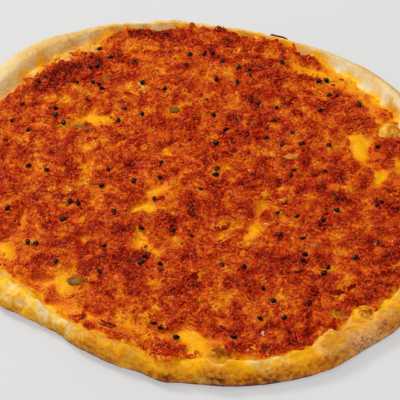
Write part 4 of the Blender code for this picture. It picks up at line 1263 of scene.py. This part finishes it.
# %% Skin flakes
FLAKE_LENGTHS, FLAKE_WIDTHS, FLAKE_THICKNESS = (1.8, 4.2), (0.4, 0.8), 0.5  # widths are shares of the length
FLAKE_ROWS, FLAKE_AROUND = 3, 9
FLAKE_COVER, FLAKE_DENTS, FLAKE_LIFTS = 0.45, (0.7, 1.15), (0.15, 0.4)
FLAKE_BEND, FLAKE_CURL, FLAKE_TILT, FLAKE_ROLL = (0, 0.15), (-0.3, 0.4), (0, 0.16), (0, 0.22)  # mean, spread
FLAKE_TONE, PALEST_FLAKE = (0.68, 0.09), 0.4


def skin_flakes(name, seed, count):
    """Scatters flat warped flakes, nearly level, a little above the paste."""
    draw = np.random.default_rng(seed)
    x, y = on_the_paste(draw, count, FLAKE_COVER)
    number, shape = len(x), ball(FLAKE_ROWS, FLAKE_AROUND)
    length = draw.uniform(*FLAKE_LENGTHS, (number, 1))
    width = length * draw.uniform(*FLAKE_WIDTHS, (number, 1))
    size = np.concatenate([length, width, np.full((number, 1), FLAKE_THICKNESS)], 1)
    shapes = shape[None] * draw.uniform(*FLAKE_DENTS, (number, len(shape), 1))
    bend, curl = draw.normal(*FLAKE_BEND, number), draw.normal(*FLAKE_CURL, number)
    shapes = arched(shapes, bend, curl) * size[:, None, :] / 2
    yaw = draw.uniform(0, 2 * math.pi, number)
    pitch, roll = draw.normal(*FLAKE_TILT, number), draw.normal(*FLAKE_ROLL, number)
    height = paste_height(x, y, cobbled=False) + draw.uniform(*FLAKE_LIFTS, number)
    tone = np.clip(draw.normal(*FLAKE_TONE, number), PALEST_FLAKE, 1)
    copies = placed(shapes, yaw, pitch, roll, x, y, height)
    return add_copies(name, copies, closed_faces(FLAKE_ROWS, FLAKE_AROUND), SKIN, "pepper_piece", tone)


SKIN = new_material("roasted_pepper_skin", chopped_pepper, 0.2, 1.6, CHOPPED_RAMP)
skin_flakes("pepper_skin_flakes", 104, 420)

# %% [markdown]
# ## Larger pieces of pepper
# A few strips are big enough to name: a bright straight one near the middle, curled dark ones at the right
# front, one that hangs over the far rim and rests on it. The rest follow the solid model's own rule and
# random draws, so they lie where its strips lie. A strip is a tube with a flat section, bent a little along
# its length.

# %% Pepper strips
STRIPS = (  # x, y, length, width, turn in degrees, bend, curl, tone
    (-18, 22, 8.5, 1.8, 58, 0.2, 0.1, 0.60), (60, -66, 11, 3.0, 20, 1.3, 0.5, 0.90),
    (78, -57, 10, 3.2, 8, -0.7, 0.4, 0.88), (-2, -59, 7, 4.6, 30, 0.3, 0.2, 0.92),
    (-10, 90, 9, 3.2, 4, 0.4, 0.1, 0.86),
)
EXTRA_STRIPS = (  # too thin to be in the solid model
    (-12, -97.5, 9, 2.6, -25, 0.8, 0.4, 0.58), (-7, -94, 6.5, 2.2, 20, -0.6, 0.3, 0.66),
    (39.8, 92.8, 11.0, 3.2, -29, 0.3, 0.3, 0.84), (-36, -82, 8, 2.4, -28, 0.5, 0.3, 0.88),
    (-47, -78, 5.5, 2.6, 15, 0.4, 0.2, 0.85), (46, 82, 7, 1.6, 65, 1.6, 0.2, 0.55),
    (-18, 96, 10, 2.8, -8, 0.5, 0.1, 0.82), (-20, 21, 4, 1.2, 66, 0.2, 0.1, 0.5),
    (68, 22, 4.5, 1.6, 80, 0.6, 0.2, 0.52),
)
OTHER_STRIPS = ((42, 11), (-52, 29), (-51, -60))  # golden onion and green pepper, below
LOOSE_STRIP_COUNT, LOOSE_STRIP_DRAW = 12, 77
LOOSE_STRIP_LENGTHS, LOOSE_STRIP_WIDTHS = (4.5, 7.5), (1.8, 3.6)
LOOSE_STRIP_BEND, LOOSE_STRIP_CURLS, LOOSE_STRIP_TONES = 0.6, (0, 0.4), (0.55, 0.9)
LOOSE_STRIP_SPACING, LOOSE_STRIP_MARGIN = 14, 4
EDGE_MARGIN, PAIR_SHARE, PAIR_SPACING = 5, 0.10, 3.6


def clear_of_bubbles(x, y, margin):
    """Whether a point is outside every bubble's oval, by a margin."""
    return all(oval_distance(x, y, place, margin) >= 1 for place in (*FLOOR_BUBBLES, *RIM_BUBBLES))


def scattered(draw, count, spacing, margin, taken):
    """Random places on the spread, none too near another or a bubble's opening. A few lie in pairs."""
    places = []
    while len(places) < count:
        if places and draw.random() < PAIR_SHARE:
            turn, nearest = draw.uniform(0, 2 * math.pi), PAIR_SPACING * 0.99
            x, y = places[-1]
            x, y = x + PAIR_SPACING * math.cos(turn), y + PAIR_SPACING * math.sin(turn)
        else:
            turn, radius = draw.uniform(0, 2 * math.pi), MEAN_RADIUS * math.sqrt(draw.random())
            x, y, nearest = radius * math.cos(turn), radius * math.sin(turn), spacing
        inside = spread_radius(np.array([math.atan2(y, x)]))[0] - math.hypot(x, y)
        if inside < EDGE_MARGIN or not clear_of_bubbles(x, y, margin):
            continue
        if all(math.hypot(x - px, y - py) > nearest for px, py in (*places, *taken)):
            places.append((x, y))
    return places


def loose_strips():
    """The solid model's smaller pieces, with a random bend, curl and tone for each."""
    draw = np.random.default_rng(LOOSE_STRIP_DRAW)
    stated = [strip[:2] for strip in STRIPS] + list(OTHER_STRIPS)
    places = scattered(draw, LOOSE_STRIP_COUNT, LOOSE_STRIP_SPACING, LOOSE_STRIP_MARGIN, stated)
    lengths = draw.uniform(*LOOSE_STRIP_LENGTHS, LOOSE_STRIP_COUNT)
    widths = draw.uniform(*LOOSE_STRIP_WIDTHS, LOOSE_STRIP_COUNT)
    angles = np.degrees(draw.uniform(0, math.pi, LOOSE_STRIP_COUNT))
    bends = draw.normal(0, LOOSE_STRIP_BEND, LOOSE_STRIP_COUNT)
    curls = draw.uniform(*LOOSE_STRIP_CURLS, LOOSE_STRIP_COUNT)
    tones = draw.uniform(*LOOSE_STRIP_TONES, LOOSE_STRIP_COUNT)
    return [(*place, *rest) for place, *rest in zip(places, lengths, widths, angles, bends, curls, tones)]


LOOSE = loose_strips()
print("strips:", len(STRIPS) + len(EXTRA_STRIPS), "stated and", len(LOOSE), "drawn")

# %% [markdown]
# ## Laying a strip down
# A wet strip follows the ground, and stiff skin bridges the hollows. So each point of it is lifted by the
# height of what lies below it, and over a hollow part of the way to the mean under the whole strip, and then
# by a little more, to rest on the mince. One that lies over the rim is lifted further, clear of its lumps.

# %% Strips in place
STRIP_ROWS, STRIP_AROUND, STRIP_BLUNTNESS = 14, 12, 0.3
STRIP_THICKNESS, STRIP_LIFT, ON_RIM_LIFT = 0.6, 0.6, 1.2
STIFFNESS, ON_RIM_FROM = 0.4, 0.2  # shares: of the mean ground, and of the rim's width
STRIP_UNEVENNESS, STRIP_RIPPLE = (0.3, 2.2), (0.25, 1.4)  # how much, over what length
NOISE_APART = 7.0  # how far along the noise each next strip is


def strip_points(strips, thickness, lift):
    """Flat tubes bent by the square of the way from their middle, uneven by noise, and laid on the ground."""
    x, y, length, width, turn, bend, curl = np.array([strip[:7] for strip in strips]).T
    shape = tube(STRIP_ROWS, STRIP_AROUND, STRIP_BLUNTNESS)
    shapes = shape[None] * np.stack([length, width, np.full(len(x), thickness)], -1)[:, None, :] / 2
    along = shapes[..., 0] / (length[:, None] / 2)
    number = np.arange(len(x))[:, None, None] * NOISE_APART
    shapes[..., 1] += bend[:, None] * along**2
    uneven, ripple = STRIP_UNEVENNESS, STRIP_RIPPLE
    shapes *= 1 + uneven[0] * solid_noise(shapes + number, uneven[1], 110)[..., None]
    shapes[..., 2] += curl[:, None] * along**2 + ripple[0] * solid_noise(shapes + number, ripple[1], 111)
    angle = np.radians(turn)
    points = placed(shapes, angle, 0 * angle, 0 * angle, x, y, 0 * x)
    over_x, over_y = points[..., 0], points[..., 1]
    ground = np.maximum(paste_height(over_x, over_y, cobbled=False), dough_height(over_x, over_y))
    middle = ground.mean(axis=1, keepdims=True)
    above = np.where(rim_share(x, y) > ON_RIM_FROM, ON_RIM_LIFT, lift)[:, None]
    points[..., 2] += np.maximum(ground, (1 - STIFFNESS) * ground + STIFFNESS * middle) + above
    return points


def add_strips(name, strips, thickness, lift, finish, slot, tone=None):
    """Makes one piece of strips that lie in place."""
    faces = closed_faces(STRIP_ROWS, STRIP_AROUND)
    return add_copies(name, strip_points(strips, thickness, lift), faces, finish, slot, tone)


red_strips = [*STRIPS, *EXTRA_STRIPS, *LOOSE]
tones = [strip[7] for strip in red_strips]
add_strips("pepper_strips", red_strips, STRIP_THICKNESS, STRIP_LIFT, SKIN, "pepper_piece", tone=tones)

# %% [markdown]
# ## Nigella seeds
# Nigella seeds are about 3 mm long, matt black, and shaped like a drop with three blunt edges. They stick to
# the oily paste as they land, some in pairs. Their places come from the solid model's rule with the same
# random draw. The drop is a ball whose section shrinks towards one end and swells three times round.

# %% Seeds
SEED_COUNT, SEED_DRAW = 116, 2024
SEED_SIZE, SEED_SIZES = (3.0, 2.15, 1.9), (0.88, 1.1)  # length, width and height, and how much they vary
SEED_TILT = 0.25  # radians
SEED_SPACING, SEED_MARGIN = 6.5, 2.6
SEED_LIFT, SEED_SINK = 0.5, 0.25  # how far the mince carries it, and the share of its height that sinks in
SEED_ROWS, SEED_AROUND = 9, 10
SEED_UNEVENNESS, SEED_LUMP = 0.06, 0.7  # millimetres
SEED_TAPER, SEED_SWELLING = 0.5, 0.16  # shares of the section: lost at the narrow end, gained at each edge
HULL_PIT = 0.9  # millimetres: real pits are finer, but would not show


def seed_shape(rows, around):
    """A drop with three blunt edges: the section's size falls off towards +x and has three swellings."""
    shape = ball(rows, around)
    angle = np.arctan2(shape[:, 2], shape[:, 1])
    taper = 1 - SEED_TAPER * np.maximum(shape[:, 0], 0)
    narrow = taper * (1 + SEED_SWELLING * np.cos(3 * angle))
    shape[:, 1] *= narrow
    shape[:, 2] *= narrow
    return shape / 2


def nigella_hull(tree, place):
    """A dry black hull, finely pitted, with a dull sheen, warm from the oil."""
    pits = add_node(tree, "TexNoise", "Fac", {"Vector": place, "Scale": per_size(HULL_PIT), "Detail": 2.0})
    colour = add_node(tree, "ValToRGB", "Color", {"Fac": pits}, ((0.3, "#050404"), (0.75, "#1d1613")))
    bump = add_node(tree, "Bump", "Normal", {"Height": pits, "Strength": 0.8, "Distance": 0.0005})
    return {
        "Base Color": colour, "Roughness": 0.28, "Normal": bump, "IOR": 1.5,
        "Specular Tint": linear("#ffd9c4"),
    }


def nigella_seeds():
    """Scatters the seeds, each with its own size and turn, a quarter of its height sunk in."""
    draw = np.random.default_rng(SEED_DRAW)
    taken = [strip[:2] for strip in STRIPS] + list(OTHER_STRIPS) + [strip[:2] for strip in LOOSE]
    x, y = np.array(scattered(draw, SEED_COUNT, SEED_SPACING, SEED_MARGIN, taken)).T
    yaw = draw.uniform(0, 2 * math.pi, SEED_COUNT)
    tilt = draw.uniform(-SEED_TILT, SEED_TILT, SEED_COUNT)
    size = draw.uniform(*SEED_SIZES, SEED_COUNT)
    roll = draw.uniform(0, 2 * math.pi, SEED_COUNT)
    shapes = seed_shape(SEED_ROWS, SEED_AROUND)[None] * (size[:, None] * SEED_SIZE)[:, None, :]
    height = paste_height(x, y, cobbled=False) + SEED_SIZE[2] * size * (0.5 - SEED_SINK) + SEED_LIFT
    seeds = placed(shapes, yaw, tilt, roll, x, y, height)
    seeds = seeds + SEED_UNEVENNESS * solid_noise(seeds, SEED_LUMP, 120)[..., None]
    hull = new_material("nigella_hull", nigella_hull)
    return add_copies("nigella_seeds", seeds, closed_faces(SEED_ROWS, SEED_AROUND), hull, "nigella_seed")


nigella_seeds()

# %% [markdown]
# ## Onion, green pepper and crumbs
# The odd bits make the mix look like real cooking: soft golden onion, olive-green pepper lying flush with
# the paste, and a few pale crumbs of garlic, half of them at the front rim. Onion is translucent, so it takes
# more subsurface light, and green pepper that has been baked in oil turns a dull olive.

# %% Cooked vegetables
ONION = (  # x, y, length, width, turn in degrees, bend, curl
    (42, 11, 7.5, 5.0, 15, 0.3, 0.1), (37, -15, 3.6, 2.4, 20, 0.2, 0.1), (49, -41, 4.0, 2.4, 10, 0.2, 0),
    (-10.5, -70, 3.2, 2.6, 0, 0.1, 0), (18, 45.5, 3.0, 1.6, 30, 0.2, 0),
)
GREEN = (  # the same
    (-51.5, 29.5, 10, 3.2, -24, 0.3, 0), (-49.5, -59.5, 8, 3.8, -5, 0.2, 0), (-10, 43, 4.6, 3, 10, 0.2, 0),
    (-42, 63, 5, 2.2, 10, 0.2, 0), (26, 33, 4, 2.4, 50, 0.2, 0), (20, 71, 5, 2.2, 40, 0.3, 0),
)
ONION_THICKNESS, ONION_LIFT, GREEN_THICKNESS, GREEN_LIFT = 1.3, 0.35, 0.9, 0.6
CRUMBS = (  # x, y
    (26.2, -87.8), (20.1, -95.8), (28.3, -97.3), (27.0, -88.9), (-25, 57), (-24, 54), (-27, 60), (88, -33),
)
CRUMB_ROWS, CRUMB_AROUND, CRUMB_LENGTHS = 4, 7, (1.8, 2.8)
CRUMB_WIDTHS, CRUMB_THICKNESS, CRUMB_DENTS = (0.6, 0.8), 0.55, (0.75, 1.2)  # shares of the length
CRUMB_TURNS = ((0, 6.3), (-0.4, 0.4), (-1, 1))  # radians: yaw, pitch, roll
MOTTLE = 1.2  # millimetres


def cooked_vegetable(tree, place, light, dark, rough, glow):
    """Soft wet flesh in two tones, mottled over a millimetre or so."""
    mottle = add_node(tree, "TexNoise", "Fac", {"Vector": place, "Scale": per_size(MOTTLE), "Detail": 2.0})
    colour = add_node(tree, "ValToRGB", "Color", {"Fac": mottle}, ((0.3, light), (0.7, dark)))
    bump = add_node(tree, "Bump", "Normal", {"Height": mottle, "Strength": 0.4, "Distance": 0.0003})
    return {
        "Base Color": colour, "Roughness": rough, "Normal": bump, "IOR": 1.46, "Specular Tint": RED_OIL,
        "Subsurface Weight": glow, "Subsurface Radius": (1.0, 0.6, 0.2), "Subsurface Scale": 0.001,
    }


def crumbs(name, seed, places, finish):
    """Pale angular crumbs, chopped like the mince but larger and lying on top."""
    draw = np.random.default_rng(seed)
    x, y = np.array(places, float).T
    number, shape = len(x), ball(CRUMB_ROWS, CRUMB_AROUND)
    length = draw.uniform(*CRUMB_LENGTHS, (number, 1))
    width = length * draw.uniform(*CRUMB_WIDTHS, (number, 1))
    size = np.concatenate([length, width, length * CRUMB_THICKNESS], 1)
    shapes = shape[None] * size[:, None, :] / 2 * draw.uniform(*CRUMB_DENTS, (number, len(shape), 1))
    turned = [draw.uniform(*span, number) for span in CRUMB_TURNS]
    ground = np.maximum(paste_height(x, y, cobbled=False), dough_height(x, y))
    copies = placed(shapes, *turned, x, y, ground + 0.3 * size[:, 2])
    return add_copies(name, copies, closed_faces(CRUMB_ROWS, CRUMB_AROUND), finish, "golden_onion")


FRIED = new_material("fried_onion", cooked_vegetable, "#dc922e", "#b05c18", 0.42, 0.3)
add_strips("golden_onion", ONION, ONION_THICKNESS, ONION_LIFT, FRIED, "golden_onion")
OLIVE = new_material("olive_green_pepper", cooked_vegetable, "#8a6414", "#6c4e10", 0.5, 0.15)
add_strips("green_pepper", GREEN, GREEN_THICKNESS, GREEN_LIFT, OLIVE, "green_pepper")
GARLIC = new_material("pale_garlic", cooked_vegetable, "#edc294", "#d89a68", 0.45, 0.3)
crumbs("garlic_crumbs", 106, CRUMBS, GARLIC)

# %% [markdown]
# ## Floor
# The portrait is taken on a sheet of pale grey that glows a little from below, as a light table does, so
# that its shadows stay faint.

# %% Floor
PAPER_CLOUD = 60  # millimetres
FLOOR_HALF, FLOOR_DROP = 2000, 0.1


def pale_paper(tree, place):
    """Matt grey paper, hardly mottled, lit from below."""
    cloudy = {"Vector": place, "Scale": per_size(PAPER_CLOUD), "Detail": 2.0}
    clouds = add_node(tree, "TexNoise", "Fac", cloudy)
    colour = add_node(tree, "ValToRGB", "Color", {"Fac": clouds}, ((0.2, "#949494"), (0.8, "#989898")))
    return {
        "Base Color": colour, "Roughness": 0.9, "IOR": 1.3,
        "Emission Color": (1.0, 1.0, 1.0, 1.0), "Emission Strength": 0.40,
    }


corners = np.array([(-1, -1), (1, -1), (1, 1), (-1, 1)]) * FLOOR_HALF
floor_mesh = bpy.data.meshes.new("paper_floor")
floor_mesh.from_pydata([(x * MM, y * MM, -FLOOR_DROP * MM) for x, y in corners.tolist()], [], [(0, 1, 2, 3)])
floor_mesh.materials.append(new_material("pale_paper", pale_paper))
floor = bpy.data.objects.new("paper_floor", floor_mesh)
bpy.context.scene.collection.objects.link(floor)

# %% [markdown]
# ## Lamps
# The main lamp stands above and behind on the left and makes the glints, as a window would. A second one
# overhead adds a few. A wide weak one in front only fills the shadows, as the pale room does: wet surfaces
# mirror neither, so they stay deep in colour.

# %% Lights
LAMPS = (  # name, place in metres, size in metres, watts, whether wet surfaces mirror it
    ("window_lamp", (-0.60, 0.46, 0.88), 0.35, 7.6, True),
    ("ceiling_lamp", (0.30, -0.10, 1.20), 0.3, 2.2, True),
    ("fill_lamp", (0.7, -0.9, 0.9), 1.2, 3.0, False),
)
ROOM_GLOW = 0.52
for name, place, size, watts, mirrored in LAMPS:
    lamp = bpy.data.lights.new(name, "AREA")
    lamp.size = size
    lamp.energy = watts
    holder = bpy.data.objects.new(name, lamp)
    holder.location = place
    holder.rotation_euler = (-Vector(place)).to_track_quat("-Z", "Y").to_euler()
    holder.visible_glossy = mirrored
    bpy.context.scene.collection.objects.link(holder)

world = bpy.data.worlds.new("pale_room")
world.use_nodes = True
world.node_tree.nodes["Background"].inputs["Color"].default_value = (1.0, 1.0, 1.0, 1.0)
world.node_tree.nodes["Background"].inputs["Strength"].default_value = ROOM_GLOW
bpy.context.scene.world = world
world.cycles_visibility.glossy = False  # the room fills shadows but leaves no haze on wet surfaces
bpy.context.scene.view_settings.view_transform = "Standard"
print("lamps:", len(LAMPS), "with", round(sum(lamp[3] for lamp in LAMPS), 1), "watts in all")

# %% [markdown]
# ## Camera
# The camera looks down at 47 degrees from the front. A long lens from far away keeps the bread's far side
# nearly as wide as its near side.

# %% Camera
TARGET = Vector((1.5, -9.0, 0.0)) * MM
CAMERA_ELEVATION, CAMERA_DISTANCE, VIEW_WIDTH = math.radians(47), 650 * MM, 175 * MM
SENSOR = 36.0
back = Vector((0.0, -math.cos(CAMERA_ELEVATION), math.sin(CAMERA_ELEVATION)))
lens = bpy.data.cameras.new("camera")
lens.sensor_width = SENSOR
lens.lens = SENSOR * CAMERA_DISTANCE / VIEW_WIDTH
lens.clip_start = 0.01
camera = bpy.data.objects.new("camera", lens)
camera.location = TARGET + back * CAMERA_DISTANCE
camera.rotation_euler = (-back).to_track_quat("-Z", "Y").to_euler()
bpy.context.scene.collection.objects.link(camera)
bpy.context.scene.camera = camera
print("focal length:", round(lens.lens, 1), "mm")
